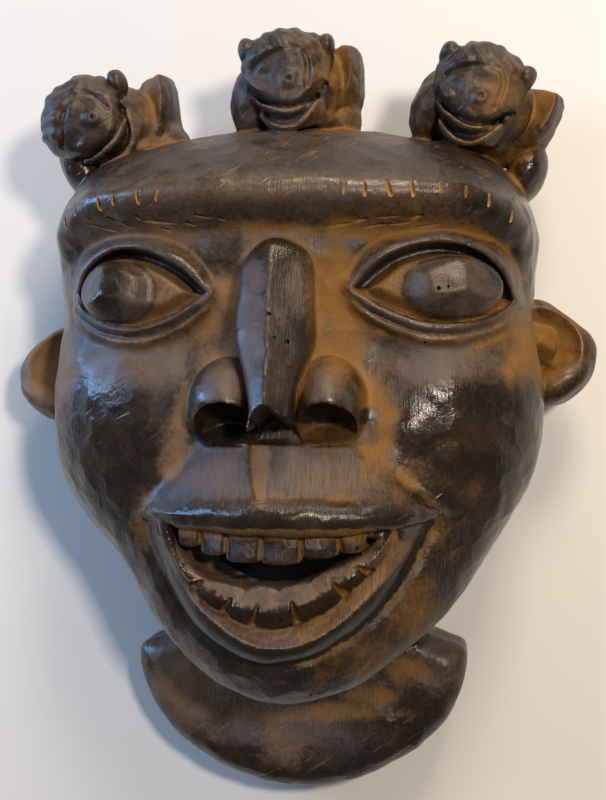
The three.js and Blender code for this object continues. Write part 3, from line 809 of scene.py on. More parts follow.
# %% Parts of an animal
ANIMALS = [
    {
        "x": -108.0, "y": 149.0, "turn": 29.0, "face": 56.0, "head": (-4.0, 2.0),
        "haunch": (-80.5, 167.5), "thigh": (11.5, 27.0), "lean": 4.0, "foot": (29.0, -18.0),
    },
    {
        "x": -4.0, "y": 175.0, "turn": 0.0, "face": 3.0, "head": (0.0, 0.0),
        "haunch": (26.0, 184.0), "thigh": (12.5, 23.0), "lean": 0.0, "foot": (29.0, -18.0),
    },
    {
        "x": 99.0, "y": 165.0, "turn": -22.0, "face": -16.0, "head": (0.0, 0.0),
        "haunch": (134.5, 157.5), "thigh": (13.0, 23.0), "lean": -26.0, "foot": (42.0, -24.0),
    },
]
# Lumps are eggs: the middle, then the three half sizes.
HEAD_LUMPS = [
    ((2, 9, 91), (25.5, 20, 25)), ((3, -3, 97), (22.5, 16, 20)), ((4.5, -15, 93), (17.5, 16.5, 21)),
]
EAR_LUMPS = [((-20, 16, 97), (5.5, 7, 9)), ((23.5, 18, 96), (5.0, 7, 9))]
BODY_LUMPS = [
    ((10, 0, 60), (26, 26, 42)), ((-19, -10, 77), (12, 22, 19)), ((4, -18, 58), (29, 13, 38)),
]
GRIN = smooth_line([(-19, -5), (-11, -12.5), (2, -17), (13, -14.5), (23, -5)], 15)
LIP_LINE = smooth_line([(-17, -8.5), (-10, -15.5), (2, -20.3), (13, -17.5), (21, -8.5)], 15)
MOUTH_LINE = smooth_line([(-9, -19), (-4, -22.5), (3, -23.5), (11, -20.5), (18, -12)], 13)
CHIN_LINE = smooth_line(
    [(-14.4, -18.5), (-7.9, -24.3), (-1.3, -28), (6.9, -28), (13.4, -22.6), (19.2, -14.4)], 15,
)
FACE_LINE = smooth_line(
    [(-16, 4.4), (-4.6, 10.6), (5, 12.6), (11.8, 12.6), (15, 4.4), (13.8, -7)], 17,
)
# Each line: how far it stands out of the wood (less than 0 is a cut) and its half width.
LINE_WORK = [
    (FACE_LINE, -1.8, 1.3), (GRIN, -4.4, 1.4), (LIP_LINE, 1.8, 1.4),
    (MOUTH_LINE, -4.2, 2.1), (CHIN_LINE, 2.2, 1.5),
]
# Each spot: middle, how far it stands out, half width, how flat its top is, and its stretch.
SPOT_WORK = [
    ((-1, 1.5), -1.3, 1.0, 8, (15, 10)), ((4.9, -3.3), 3.2, 4.8, 4, (1, 1)),
    ((4.9, -3.3), -3.4, 1.1, 2, (1, 1)), ((-9.5, -1), -0.9, 4.0, 4, (1, 1)),
]


def head_place(x, y, one):
    hx, hy = one["head"]
    return turned(x - one["x"] - hx, y - one["y"] - hy, one["face"])


def haunch_place(x, y, one):
    hx, hy = one["haunch"]
    return turned(x - hx, y - hy, one["lean"])


def animal_relief(x, y):
    rise = 0.0
    for line, out, width in LINE_WORK:
        rise = rise + out * bell(flat_distance(x, y, line)[0], width)
    for (cx, cy), out, width, power, (long_x, long_y) in SPOT_WORK:
        gap = np.hypot((x - cx) / long_x, (y - cy) / long_y)
        rise = rise + out * bell(gap, width, power)
    return rise


print(len(LINE_WORK), "knife lines and", len(SPOT_WORK), "spots on each small face")


# %% Animals
def animal_head(x, y, z):
    head = lump_group(x, y, z, HEAD_LUMPS, 4.0)
    fur = 1.5 * np.sin(x * 0.5 + 1.3 * np.sin(y * 0.31)) * np.sin(y * 0.43 + x * 0.2)
    head = smooth_max(head, z - 114.5 - 0.12 * y - 0.03 * x, 5.0)
    head = head + 0.6 * (fur * smoothstep(6, 14, y))
    head = head - animal_relief(x, y) * smoothstep(92.0, 100.0, z)
    under_chin = egg(x, y, z, (10, -31, 90), (15, 7, 15))
    return smooth_max(head, -under_chin, 2.0)


def animal_haunch(x, y, z, one):
    hx, hy = haunch_place(x, y, one)
    wide, tall = one["thigh"]
    thigh_and_knee = [((0, 0, 60), (wide, tall, 32)), ((-6, -12, 55), (16, 18, 28))]
    haunch = lump_group(hx, hy, z, thigh_and_knee, 4.0)
    slope = (z - 80.0 - 1.15 * hx + 0.12 * hy) * 0.65
    return smooth_max(haunch, smooth_max(slope, hy - tall * 0.62, 4.0), 2.0)


def animal(x, y, z, one):
    px, py = turned(x - one["x"], y - one["y"], one["turn"])
    body = lump_group(px, py, z, BODY_LUMPS, 2.5)
    body = smooth_min(body, animal_haunch(x, y, z, one), 2.0)
    foot = egg(px, py, z, (*one["foot"], 60), (11, 18, 20))
    body = smooth_min(body, foot, 2.0)
    body = smooth_max(body, -egg(px, py, z, (12, -33, 92), (17, 8, 20)), 3.0)
    body = smooth_min(body, lump_group(px, py, z, EAR_LUMPS, 1.0), 2.5)
    fx, fy = head_place(x, y, one)
    return smooth_min(body, animal_head(fx, fy, z), 1.0)


for one in ANIMALS:
    low, high = (one["x"] - 62, one["y"] - 62, 14), (one["x"] + 62, one["y"] + 50, 126)
    join(wood, low, high, functools.partial(animal, one=one), 2.0)
print(len(ANIMALS), "animals carved")

# %% [markdown]
# ## Hollow back
# The back is gouged out to a wall of about 18 mm, with a shallower hollow in the collar
# for the wearer's neck.

# %% Hollow
WALL = 18.0
HOLLOW_CEILING = 22.0
NECK_TOP, NECK_DEPTH, NECK_HALF = -110.0, 27.0, 52.0

inner_top = (face_top(flat_x, flat_y) + WALL - HOLLOW_CEILING)[:, :, None]
inside = dome(gx, gy, gz, inner_top, inset=WALL, foot=-6.0)
wood = smooth_max(wood, -inside, 2.0)
del inside


def neck_hollow(x, y, z):
    half, depth = COLLAR["half"] - WALL, COLLAR["depth"] - WALL
    near = np.hypot(x / half, np.minimum(y - COLLAR["y"], 0) / depth)
    widening = np.clip((NECK_TOP - y) / (NECK_TOP - COLLAR["y"]), 0, 1)
    sides = np.abs(x) - (NECK_HALF + (half - NECK_HALF) * widening)
    side = (near - 1) * depth
    return trimmed(side, (sides, 2.0), (y - NECK_TOP, 1.0), (z - NECK_DEPTH, 3.0))


carve(wood, (-84, -214, -6), (84, -104, 34), neck_hollow, 2.0)
wood = smooth_max(wood, -gz, 1.2)
print("back hollowed to a wall of", WALL, "mm")

# %% [markdown]
# ## From the block to a mesh
# The surface is drawn through the zeros of the block. No surface of the real mask is even,
# so a slow noise then moves each point in or out by less than a millimetre, and highlights
# break up as they do on wood cut with an adze.

# %% Surface
BAND = 3 * STEP
grid = vdb.FloatGrid(BAND)
grid.copyFromArray(np.clip(wood, -BAND, BAND).astype(np.float32), tolerance=0.0)
points, triangles, quads = grid.convertToPolygons(0.0, 0.0)
corners = (points * STEP + BLOCK_LOW + FACE_SHIFT) / 1000
mesh = bpy.data.meshes.new("carved_mask")
mesh.from_pydata(corners.tolist(), [], quads.tolist() + triangles.tolist())
mesh.update()
mask = bpy.data.objects.new("carved_mask", mesh)
bpy.context.scene.collection.objects.link(mask)
print("surface of", len(quads), "squares")

# %% Uneven surface
# Each wave: its height in mm, its length in mm and the seed of its numbers.
WAVES = [(0.75, 17.0, 1), (0.45, 7.5, 2)]
CROWN_WAVE = (0.5, 4.5, 3)
LATTICE, FAR_CORNER = 64, 500


def corner_blend(block, low, share):
    # Weighs the eight corners of the cell round each point.
    value = np.zeros(len(share))
    for corner in range(8):
        step = np.array([(corner >> i) & 1 for i in range(3)])
        i, j, k = ((low + step) % block.shape).T
        value += np.prod(np.where(step, share, 1 - share), axis=1) * block[i, j, k]
    return value


def wave(places, height, length, seed):
    lattice = np.random.default_rng(seed).uniform(-1, 1, (LATTICE, LATTICE, LATTICE))
    at = places / length + FAR_CORNER
    low = np.floor(at).astype(int)
    return height * corner_blend(lattice, low, (at - low) ** 2 * (3 - 2 * (at - low)))


def vertex_facts(mesh):
    flat = np.empty(len(mesh.vertices) * 3, np.float32)
    mesh.vertices.foreach_get("co", flat)
    places = flat.reshape(-1, 3) * 1000 - FACE_SHIFT
    mesh.vertex_normals.foreach_get("vector", flat)
    return places, flat.reshape(-1, 3).astype(float)


spots, facing = vertex_facts(mask.data)
uneven = sum(wave(spots, *values) for values in WAVES)
crown = smoothstep(128, 150, spots[:, 1]) * smoothstep(20, 40, spots[:, 2])
uneven += crown * wave(spots, *CROWN_WAVE)
uneven[spots[:, 2] < 1.0] = 0
moved = spots + facing * uneven[:, None]
mask.data.vertices.foreach_set("co", ((moved + FACE_SHIFT) / 1000).astype(np.float32).ravel())
mask.data.update()
print("moved by up to", round(float(np.abs(uneven).max()), 2), "mm")

# %% [markdown]
# The hollow back needs few faces and the face needs many, so the mesh is thinned twice:
# first only the points deep inside the hollow, then everything a little.

# %% Thin the mesh
MOST_TRIANGLES = 196000
HOLLOW_TRIANGLES = 22000
RIM_KEPT, WALL_KEPT, FLAT_FOOT = 9, 12, 0.8


def kept_result(piece):
    # Turns the piece with its modifiers into a plain mesh.
    bpy.context.view_layer.update()
    made = bpy.data.meshes.new_from_object(
        piece.evaluated_get(bpy.context.evaluated_depsgraph_get())
    )
    piece.modifiers.clear()
    piece.data = made


def thin(piece, keep, group=""):
    cut = piece.modifiers.new("thin", "DECIMATE")
    cut.ratio = min(1.0, keep)
    cut.vertex_group = group
    kept_result(piece)


def triangle_count(mesh):
    return len(mesh.loops) - 2 * len(mesh.polygons)


sx, sy, sz = spots.T
deep = np.hypot(sx, sy) < outline_radius(sx, sy) - RIM_KEPT
deep &= sz < face_height(sx, sy) - WALL_KEPT
deep &= ~((np.abs(sx) < 66) & (sy < 8) & (sy > -140) & (sz > 110))
deep |= sz < FLAT_FOOT
hidden = mask.vertex_groups.new(name="hidden")
hidden.add(np.nonzero(deep)[0].tolist(), 1.0, "REPLACE")
total = triangle_count(mask.data)
inner = total * float(deep.mean())
thin(mask, (total - inner + HOLLOW_TRIANGLES) / total, "hidden")
print("hollow thinned:", total, "->", triangle_count(mask.data))
mask.vertex_groups.clear()
thin(mask, MOST_TRIANGLES / triangle_count(mask.data))
mask.data.polygons.foreach_set("use_smooth", np.ones(len(mask.data.polygons), bool))
print("thinned to", triangle_count(mask.data), "triangles")

# %% [markdown]
# ## Knife notches along the brow
# A row of short knife cuts runs along the brow edge of the real mask. They repeat and
# follow a path, which is what Geometry Nodes are for: one lens-shaped cutter is copied to
# every point of the path and turned a little by chance (a double pyramid, which leaves
# the pointed ends and the V-shaped floor of a knife cut), and the whole row is then taken
# out of the wood at once. The same tree makes chips and insect holes further on.

# %% Tree for a row of cutters
def add_node(tree, kind, **settings):
    made = tree.nodes.new(kind)
    for key, value in settings.items():
        setattr(made, key, value)
    return made


def row_tree():
    tree = bpy.data.node_groups.new("cutter_row", "GeometryNodeTree")
    face, new, link = tree.interface, functools.partial(add_node, tree), tree.links.new
    face.new_socket("Geometry", in_out="INPUT", socket_type="NodeSocketGeometry")
    for label in ("Length", "Width", "Depth", "Lean", "Turn"):
        face.new_socket(label, in_out="INPUT", socket_type="NodeSocketFloat")
    face.new_socket("Seed", in_out="INPUT", socket_type="NodeSocketInt")
    face.new_socket("Material", in_out="INPUT", socket_type="NodeSocketMaterial")
    face.new_socket("Geometry", in_out="OUTPUT", socket_type="NodeSocketGeometry")
    start, end = new("NodeGroupInput"), new("NodeGroupOutput")

    # The cutter: a ball of two rings, which is a double pyramid, pulled to its size.
    ball = new("GeometryNodeMeshUVSphere")
    ball.inputs["Radius"].default_value = 0.5
    ball.inputs["Segments"].default_value, ball.inputs["Rings"].default_value = 8, 2
    size = new("ShaderNodeCombineXYZ")
    for socket, axis in (("Width", "X"), ("Length", "Y"), ("Depth", "Z")):
        link(start.outputs[socket], size.inputs[axis])
    stretch = new("FunctionNodeRandomValue", data_type="FLOAT")
    stretch.inputs[2].default_value, stretch.inputs[3].default_value = 0.75, 1.2
    link(start.outputs["Seed"], stretch.inputs["Seed"])
    scaled = new("ShaderNodeVectorMath", operation="SCALE")
    link(size.outputs[0], scaled.inputs[0])
    link(stretch.outputs[1], scaled.inputs["Scale"])

    # Its turn: the lean of the row, and by chance up to the turn either way.
    minus = new("ShaderNodeMath", operation="MULTIPLY")
    minus.inputs[1].default_value = -1.0
    link(start.outputs["Turn"], minus.inputs[0])
    chance = new("FunctionNodeRandomValue", data_type="FLOAT")
    link(minus.outputs[0], chance.inputs[2])
    link(start.outputs["Turn"], chance.inputs[3])
    link(start.outputs["Seed"], chance.inputs["Seed"])
    lean = new("ShaderNodeMath", operation="ADD")
    link(start.outputs["Lean"], lean.inputs[0])
    link(chance.outputs[1], lean.inputs[1])
    turn = new("ShaderNodeCombineXYZ")
    link(lean.outputs[0], turn.inputs["Z"])

    copies = new("GeometryNodeInstanceOnPoints")
    link(start.outputs["Geometry"], copies.inputs["Points"])
    link(ball.outputs["Mesh"], copies.inputs["Instance"])
    link(turn.outputs[0], copies.inputs["Rotation"])
    link(scaled.outputs[0], copies.inputs["Scale"])
    real, paint = new("GeometryNodeRealizeInstances"), new("GeometryNodeSetMaterial")
    link(copies.outputs["Instances"], real.inputs["Geometry"])
    link(real.outputs["Geometry"], paint.inputs["Geometry"])
    link(start.outputs["Material"], paint.inputs["Material"])
    link(paint.outputs["Geometry"], end.inputs["Geometry"])
    return tree


ROW_TREE = row_tree()
print("cutter tree has", len(ROW_TREE.nodes), "nodes")

# %% [markdown]
# The tree needs points to copy its cutter to. They are given as seen from the front, and
# the block of numbers tells how high the wood stands there.

# %% Grow a row on the wood
wood_look = bpy.data.materials.new("old_dark_wood")


def surface_height(x, y):
    column = wood[int((x - BLOCK_LOW[0]) / STEP), int((y - BLOCK_LOW[1]) / STEP)]
    k = np.nonzero(column < 0)[0][-1]
    return BLOCK_LOW[2] + STEP * (k + column[k] / (column[k] - column[k + 1]))


def cutter_row(name, places, lift=0.0, **sizes):
    # Sets the modifier's inputs by their identifiers, then keeps the result as a plain mesh.
    at = [np.array((x, y, surface_height(x, y) + lift)) for x, y in places]
    cloud = bpy.data.meshes.new(name)
    cloud.from_pydata([tuple((p + FACE_SHIFT) / 1000) for p in at], [], [])
    holder = bpy.data.objects.new(name, cloud)
    bpy.context.scene.collection.objects.link(holder)
    grow = holder.modifiers.new("grow", "NODES")
    grow.node_group = ROW_TREE
    values = {"Lean": 0.0, **sizes, "Material": wood_look}
    for item in ROW_TREE.interface.items_tree:
        if item.in_out == "INPUT" and item.name in values:
            grow[item.identifier] = values[item.name]
    kept_result(holder)
    print(name, "has", len(places), "cutters of", len(holder.data.polygons) // len(places), "faces")
    return holder


# %% Notch cutters
NOTCHES = [
    (-121, 97), (-113, 101), (-97, 103), (-88, 104), (-74, 103.5), (-64, 104), (34, 108),
    (44, 107), (56, 107.5), (68, 107), (82, 109), (95, 107), (107, 103), (119, 96),
]
notches = cutter_row(
    "brow_notches", NOTCHES, Length=0.011, Width=0.0029, Depth=0.0064, Turn=0.30, Seed=4,
)

# %% [markdown]
# ## Chips and insect holes
# Flat slanting chips are torn out of the wood under the brow, and beetles left round exit
# holes of about 2 mm. Chips lean one way on the left side and the other way on the right.
# Holes have no turn and a depth of a few millimetres.

# %% Chip and hole cutters
CHIP_GROUPS = {
    "left_chips": (1.15, [
        (-98, 92), (-90, 95), (-82, 92), (-75, 95), (-66, 93), (-61, 89), (-48, 92), (-40, 95),
        (-30, 93),
    ]),
    "right_chips": (-1.25, [
        (40, 92), (48, 90), (55, 94), (62, 91), (70, 94), (76, 90), (30, 90),
    ]),
}
HOLES = [
    (-3, 43), (0, 31), (6, 29), (81, 57), (86, 58), (1, -112), (14, -155), (-54, -150),
    (-42, -161), (74, 30), (40, -75),
]


def merged(pieces):
    whole = bmesh.new()
    for piece in pieces:
        whole.from_mesh(piece.data)
    whole.to_mesh(pieces[0].data)
    whole.free()
    for piece in pieces[1:]:
        bpy.data.objects.remove(piece)
    return pieces[0]


holes = cutter_row(
    "insect_holes", HOLES, lift=-0.5, Length=0.0026, Width=0.0026, Depth=0.010, Turn=0.0, Seed=9,
)
chips = merged([
    cutter_row(name, places, Length=0.020, Width=0.0042, Depth=0.0044, Lean=lean, Turn=0.35, Seed=7)
    for name, (lean, places) in CHIP_GROUPS.items()
])

# %% [markdown]
# Each set of cutters is taken out of the wood. The faces that a cutter leaves keep its
# material index, which tells fresh cuts from old wood. The index is then stored as a
# number on the faces, because in the end the whole mask has one material.

# %% Take the cutters out
CUT_EDGE = math.radians(46)
# How fresh the wood is that each material index stands for: old, notch, chip.
FRESHNESS = np.array([0.0, 1.0, 0.1])
looks = [wood_look, bpy.data.materials.new("fresh_cut"), bpy.data.materials.new("torn_wood")]


def take_out(piece, cutter, mark):
    cutter.data.materials.clear()
    for look in looks:
        cutter.data.materials.append(look)
    marks = np.full(len(cutter.data.polygons), mark, np.int32)
    cutter.data.polygons.foreach_set("material_index", marks)
    cut = piece.modifiers.new("cut", "BOOLEAN")
    cut.operation, cut.object, cut.solver = "DIFFERENCE", cutter, "MANIFOLD"
    kept_result(piece)
    bpy.data.objects.remove(cutter)


before = len(mask.data.polygons)
for look in looks:
    mask.data.materials.append(look)
for cutter, mark in ((notches, 1), (chips, 2), (holes, 0)):
    take_out(mask, cutter, mark)
faces = mask.data.polygons
marks = np.zeros(len(faces), np.int32)
faces.foreach_get("material_index", marks)
print("faces of fresh cuts:", int((marks > 0).sum()))
mask.data.materials.clear()
mask.data.materials.append(wood_look)
faces.foreach_set("material_index", np.zeros(len(faces), np.int32))
store = mask.data.attributes.new("fresh", "FLOAT", "FACE")
store.data.foreach_set("value", FRESHNESS[marks].astype(np.float32))
faces.foreach_set("use_smooth", np.ones(len(faces), bool))
mask.data.set_sharp_from_angle(angle=CUT_EDGE)
print("cut:", before, "->", len(faces), "faces")

# %% [markdown]
# ## Where dust lies, where the wood is worn and where shade is painted
# Colour on an old carving follows its shape: dust and clay stay in the hollows, raised
# places are handled and go dark and glossy, and what faces up is made paler. The block
# of numbers gives all three. Blurring the wood tells how enclosed a point is: over half
# wood around it is a hollow, under half is an edge.

# %% Hollows, ridges and upward faces
NEAR_BLUR, WIDE_BLUR = 2.4, 7.0


def blurred(block, radius):
    for axis in range(3):
        for _ in range(2):
            pad = [(0, 0)] * 3
            pad[axis] = (radius + 1, radius)
            total = np.cumsum(np.pad(block, pad, mode="edge"), axis=axis, dtype=np.float32)
            last = total.shape[axis]
            ahead = np.take(total, range(2 * radius + 1, last), axis=axis)
            behind = np.take(total, range(0, last - 2 * radius - 1), axis=axis)
            block = (ahead - behind) / (2 * radius + 1)
    return block


def sampled(block, places):
    at = (places - BLOCK_LOW) / STEP
    low = np.clip(np.floor(at).astype(int), 0, counts - 2)
    return corner_blend(block, low, at - low)


spots, facing = vertex_facts(mask.data)
sx, sy, sz = spots.T
to_right, to_crown, to_front = facing.T
filled = np.clip(0.5 - wood / (2 * STEP), 0, 1).astype(np.float32)
near = sampled(blurred(filled, max(1, round(NEAR_BLUR / STEP))), spots)
wide = sampled(blurred(filled, max(2, round(WIDE_BLUR / STEP))), spots)
del filled
hollow = smoothstep(0.03, 0.17, wide - 0.5) * 0.7 + smoothstep(0.02, 0.12, near - 0.5) * 0.4
ridge = smoothstep(0.02, 0.16, 0.5 - near) * 0.6 + smoothstep(0.03, 0.2, 0.5 - wide) * 0.6
facing_up = smoothstep(-0.1, 0.9, to_crown) * smoothstep(-0.2, 0.3, to_front)
print("hollows cover", round(float((hollow > 0.3).mean() * 100), 1), "percent")

# %% [markdown]
# Shape alone doesn't tell everything. Hands, water and soil touched some places more than
# others, so soft oval patches add to each fact where the photo shows it.

# %% Patches
# Each patch: x, y, half width, half height and strength.
CLAY_PATCHES = [
    (24, 58, 11, 30, 0.85), (32, 34, 14, 26, 0.9), (49, -14, 11, 32, 0.85), (58, -46, 12, 12, 0.5),
    (-35, 46, 13, 30, 0.6), (-52, -8, 8, 18, 0.6), (-60, -34, 8, 16, 0.6), (-70, -58, 8, 14, 0.6),
    (-56, 57, 13, 9, 0.75), (45, 57, 14, 9, 0.75), (-44, 78, 26, 8, 0.4), (60, 94, 42, 9, 0.5),
    (60, 90, 52, 9, 0.6), (-60, 92, 50, 9, 0.3), (-64, -160, 32, 26, 0.72),
    (-10, -203, 20, 14, 0.5), (-128, 60, 10, 20, 0.3), (66, -110, 16, 24, 0.55),
    (44, -135, 20, 16, 0.5), (72, -66, 14, 15, 0.65), (-76, -68, 8, 15, 0.6),
    (139, 30, 26, 26, 0.9), (-142, 18, 28, 28, 1.0), (0, -181, 50, 6, 1.0), (-36, -173, 18, 7, 0.6),
    (38, -172, 18, 8, 0.65), (62, -156, 14, 11, 0.65), (-12, -204, 12, 12, 0.35),
    (88, -160, 8, 20, 0.35), (36, -42, 28, 14, 0.4), (118, 152, 14, 26, 0.6),
    (24, 166, 12, 24, 0.5), (-88, 152, 12, 26, 0.5),
]
PALE_PATCHES = [
    (-27, 8, 14, 15, 0.75), (24, 8, 14, 15, 0.7), (-76, 90, 46, 11, 0.8), (78, 92, 46, 9, 0.6),
    (0, 103, 128, 14, 0.85), (0, 92, 30, 12, 0.6), (-80, 20, 38, 16, 0.85), (86, 20, 44, 17, 0.8),
    (0, -36, 62, 15, 1.0), (-14, 40, 10, 44, 0.6), (0, 128, 130, 24, 0.2),
    (-66, -158, 24, 28, 0.85), (-12, -204, 16, 14, 0.8), (80, -150, 14, 24, 0.6),
    (0, -190, 74, 15, 0.75), (-70, -176, 28, 26, 0.85), (-88, 42, 34, 7, 0.7), (86, 38, 36, 7, 0.7),
    (-88, 57, 20, 15, 0.45), (86, 59, 24, 16, 0.45), (-40, -30, 14, 12, 0.5),
    (10, 60, 12, 24, 0.4), (-142, 18, 26, 26, 0.9),
]
# Dark patches: handled, polished wood, and painted shade on the lower chin and along the collar's
# lower edge.
DARK_PATCHES = [
    (-3, 80, 17, 9, 0.6), (-104, -40, 36, 40, 0.95), (104, -44, 42, 44, 0.95),
    (-74, -96, 24, 44, 0.7), (-5, -148, 56, 14, 0.75), (60, -194, 34, 20, 0.6),
    (-34, -214, 40, 10, 0.5), (-128, 60, 12, 40, 0.6), (128, 70, 12, 40, 0.6),
    (-44, 2, 6, 18, 0.6), (41, 2, 6, 18, 0.6), (-108, 140, 20, 24, 0.6), (101, 163, 30, 32, 0.75),
    (-5, 182, 20, 22, 0.5), (0, 97, 120, 6, 0.3), (90, 148, 10, 30, 0.5),
]
GLOSS_PATCHES = [(0, 107, 126, 6, 0.9), (-100, -12, 20, 20, 0.6), (92, -12, 22, 18, 0.7)]
STROKE_PATCHES = [
    (0, 130, 140, 26, 1.0), (60, -120, 40, 40, 0.8), (80, -80, 30, 40, 0.6), (-60, 98, 60, 10, 0.8),
    (60, 100, 60, 10, 0.8), (0, -200, 90, 40, 0.7), (-90, 0, 30, 30, 0.5),
]
STREAK_PATCHES = [
    (0, -40, 66, 20, 1.0), (0, -176, 60, 16, 0.9), (0, -70, 54, 14, 0.8), (70, -84, 30, 50, 0.5),
    (0, 60, 18, 60, 0.4),
]


def patches(table):
    total = np.zeros(len(spots))
    for x, y, half_x, half_y, strength in table:
        oval = ((sx - x) / half_x) ** 2 + ((sy - y) / half_y) ** 2
        total = np.maximum(total, strength * np.exp(-0.8 * oval**1.5))
    return total * (to_front > -0.3)


dark_polish_and_shade = patches(DARK_PATCHES)
clay = np.clip(hollow * (0.5 + 0.3 * (sx > -20)) + patches(CLAY_PATCHES), 0, 1)
pale = np.clip(facing_up * 0.15 + patches(PALE_PATCHES) - 0.6 * dark_polish_and_shade, 0, 1)
polish = 0.45 * ridge + dark_polish_and_shade + patches(GLOSS_PATCHES) + 0.25 * (1 - facing_up)
polish = np.clip(polish, 0, 1)
strokes, streaks = patches(STROKE_PATCHES), patches(STREAK_PATCHES)
# painted_shade: darkness painted where shade falls, filled in by the cells below.
painted_shade = np.zeros(len(spots))
print(len(CLAY_PATCHES), "patches of clay,", len(PALE_PATCHES), "of worn wood")

# %% [markdown]
# The animals are duller and dustier than the face. Their lips and chins are worn pale, the
# lines of their mouths are dark, and clay lies on the flat cut of each haunch.

# %% Dust on the animals
SIDE_SHADE = [(112, 145, 10, 10, 0.85), (-89.5, 157, 4, 18, 0.7)]
on_crown = smoothstep(132, 150, sy) * smoothstep(20, 60, sz)
polish *= 1 - 0.75 * on_crown
pale = np.clip(pale + 0.38 * on_crown * (to_front > 0.1), 0, 1)
clay = np.clip(clay + 0.2 * on_crown, 0, 1)


def line_share(x, y, lines, width):
    return np.maximum(*(bell(flat_distance(x, y, line)[0], width) for line in lines))


def dust_an_animal(one):
    hx, hy = haunch_place(sx, sy, one)
    wide, tall = one["thigh"]
    flat_cut = (np.hypot(hx / (wide + 3), hy / (tall + 5)) < 1) & (to_right < 0.2) & (sz > 50)
    clay[flat_cut] = 0.45 + 0.35 * smoothstep(-9, -4, hx[flat_cut])
    pale[flat_cut] = 0.2
    fx, fy = head_place(sx, sy, one)
    muzzle = (np.hypot(fx - 3, fy + 2) < 33) & (sz > 80) & (to_front > 0)
    fx, fy = fx[muzzle], fy[muzzle]
    light = line_share(fx, fy, (LIP_LINE, CHIN_LINE), 1.5)
    dark = line_share(fx, fy, (GRIN, MOUTH_LINE), 1.4)
    clay[muzzle] *= 0.3 + 0.5 * smoothstep(-5, 9, fx)
    pale[muzzle] = np.maximum(pale[muzzle], 0.9 * light)
    clay[muzzle] = np.maximum(clay[muzzle], 0.6 * light) * (1 - dark)
    polish[muzzle] = np.minimum(polish[muzzle], 1 - 0.6 * light)


for one in ANIMALS:
    dust_an_animal(one)
foot = (on_crown > 0.3) & (sx > 120) & (sy < 150)
polish[foot], clay[foot] = 0.15, 0.5
# Painted shade under each animal's jaw and in the gaps beside the heads.
under_jaw = (on_crown > 0.5) & (to_crown < -0.1) & (sz < 98) & (sz > 62) & (hollow > 0.3)
painted_shade[under_jaw] = 0.75
painted_shade = np.maximum(painted_shade, patches(SIDE_SHADE) * (sz < 105) * (sz > 40))
print("crown has", int((on_crown > 0.5).sum()), "points")

# %% [markdown]
# In the mouth each ring round the middle has its own finish: a worn top and a glossy dark
# front on the ledge, a streaked slope inside the lip, painted shade on the roll that
# deepens towards its outside, and painted shade in the deep gullet.

# %% Dust in the mouth
FAR = math.inf


def within(x=(-FAR, FAR), y=(-FAR, FAR), z=(-FAR, FAR), front=-FAR):
    # Points between the given limits whose surface turns to the front by more than front.
    keep = to_front > front
    for values, (low, high) in ((sx, x), (sy, y), (sz, z)):
        keep &= (values > low) & (values < high)
    return keep


def ring(low, high):
    return in_mouth & (out >= low) & (out < high)


out, turn = mouth_polar(sx, sy)
inner, outer, valley, crest, fold = mouth_edges(turn)
in_mouth = within(y=(-FAR, -63), z=(126, FAR), front=-0.3)
ledge_top, ledge_front = ring(inner - 3, outer - 0.5), ring(outer - 1.5, valley - 0.8)
lip_slope, roll = ring(valley - 0.8, crest + 1), ring(crest + 1, fold + 2)
gullet = within(y=(-110, -63), z=(60, 147), front=-0.3) & (out < inner - 2.5)
clay[lip_slope] = np.maximum(clay[lip_slope], 0.3 + 0.3 * (sx[lip_slope] > 10))
pale[lip_slope], streaks[lip_slope] = 0.75, 1.0
clay[ledge_top], pale[ledge_top] = 0.5, 0.65
for part, most_clay in ((ledge_front, 0.15), (roll, 0.1)):
    clay[part] = np.minimum(clay[part], most_clay)
    pale[part] = 0
polish[ledge_front], polish[roll] = 0.9, 0.35
# Painted shade on the roll where it turns down, and in the gullet.
painted_shade[roll] = 0.8 * smoothstep(0.5, 3.0, (out - crest)[roll])
painted_shade[gullet] = 0.9
print("mouth has", int(in_mouth.sum()), "points")

# %% [markdown]
# Nostrils and the underside of the nose are dull, with painted shade. The leaf under the nose
# is full of clay and has painted shade along its steep left wall, and the rolled edge of
# the upper lip is rubbed clean and glossy.

# %% Dust on the nose and the upper lip
# Painted shade on the downward faces under the nose and in the nostrils.
under_nose = within(x=(-52, 52), y=(-25, 2), z=(120, FAR)) & (to_crown < -0.35)
in_nostril = under_nose | within(x=(-50, 50), y=(-23.5, -4), z=(100, 168))
clay[in_nostril] = 0.2 + 0.5 * (sx[in_nostril] > 5) * (sy[in_nostril] < -12)
pale[in_nostril], painted_shade[in_nostril] = 0, 0.3
down = np.clip((LIP_TOP["y"] - sy) / (LIP_TOP["y"] - LIP_EDGE["y"]), 0, 1)
left_side, right_side = leaf_sides(down)
on_lip = within(x=(-74, 82), y=(-71, LIP_TOP["y"]), z=(128, FAR), front=-0.5)
leaf = on_lip & (down < 0.97) & (sx > left_side) & (sx < right_side)
clay[leaf], streaks[leaf] = 1.0, 0.15
# Painted shade along the steep left wall of the leaf.
painted_shade[on_lip & (down < 0.95) & (np.abs(sx - left_side) < 0.9)] = 0.5
rubbed = smoothstep(-52.5, -56.0, sy) * on_lip * (sz > 134)
clay *= 1 - rubbed
pale *= 1 - rubbed
streaks *= 1 - 0.8 * rubbed
polish = np.maximum(polish, (0.85 - 0.3 * smoothstep(0, 30, sx)) * rubbed)
print("upper lip has", int(on_lip.sum()), "points")

# %% [markdown]
# Clay is packed between the teeth and at the roots of the upper row.

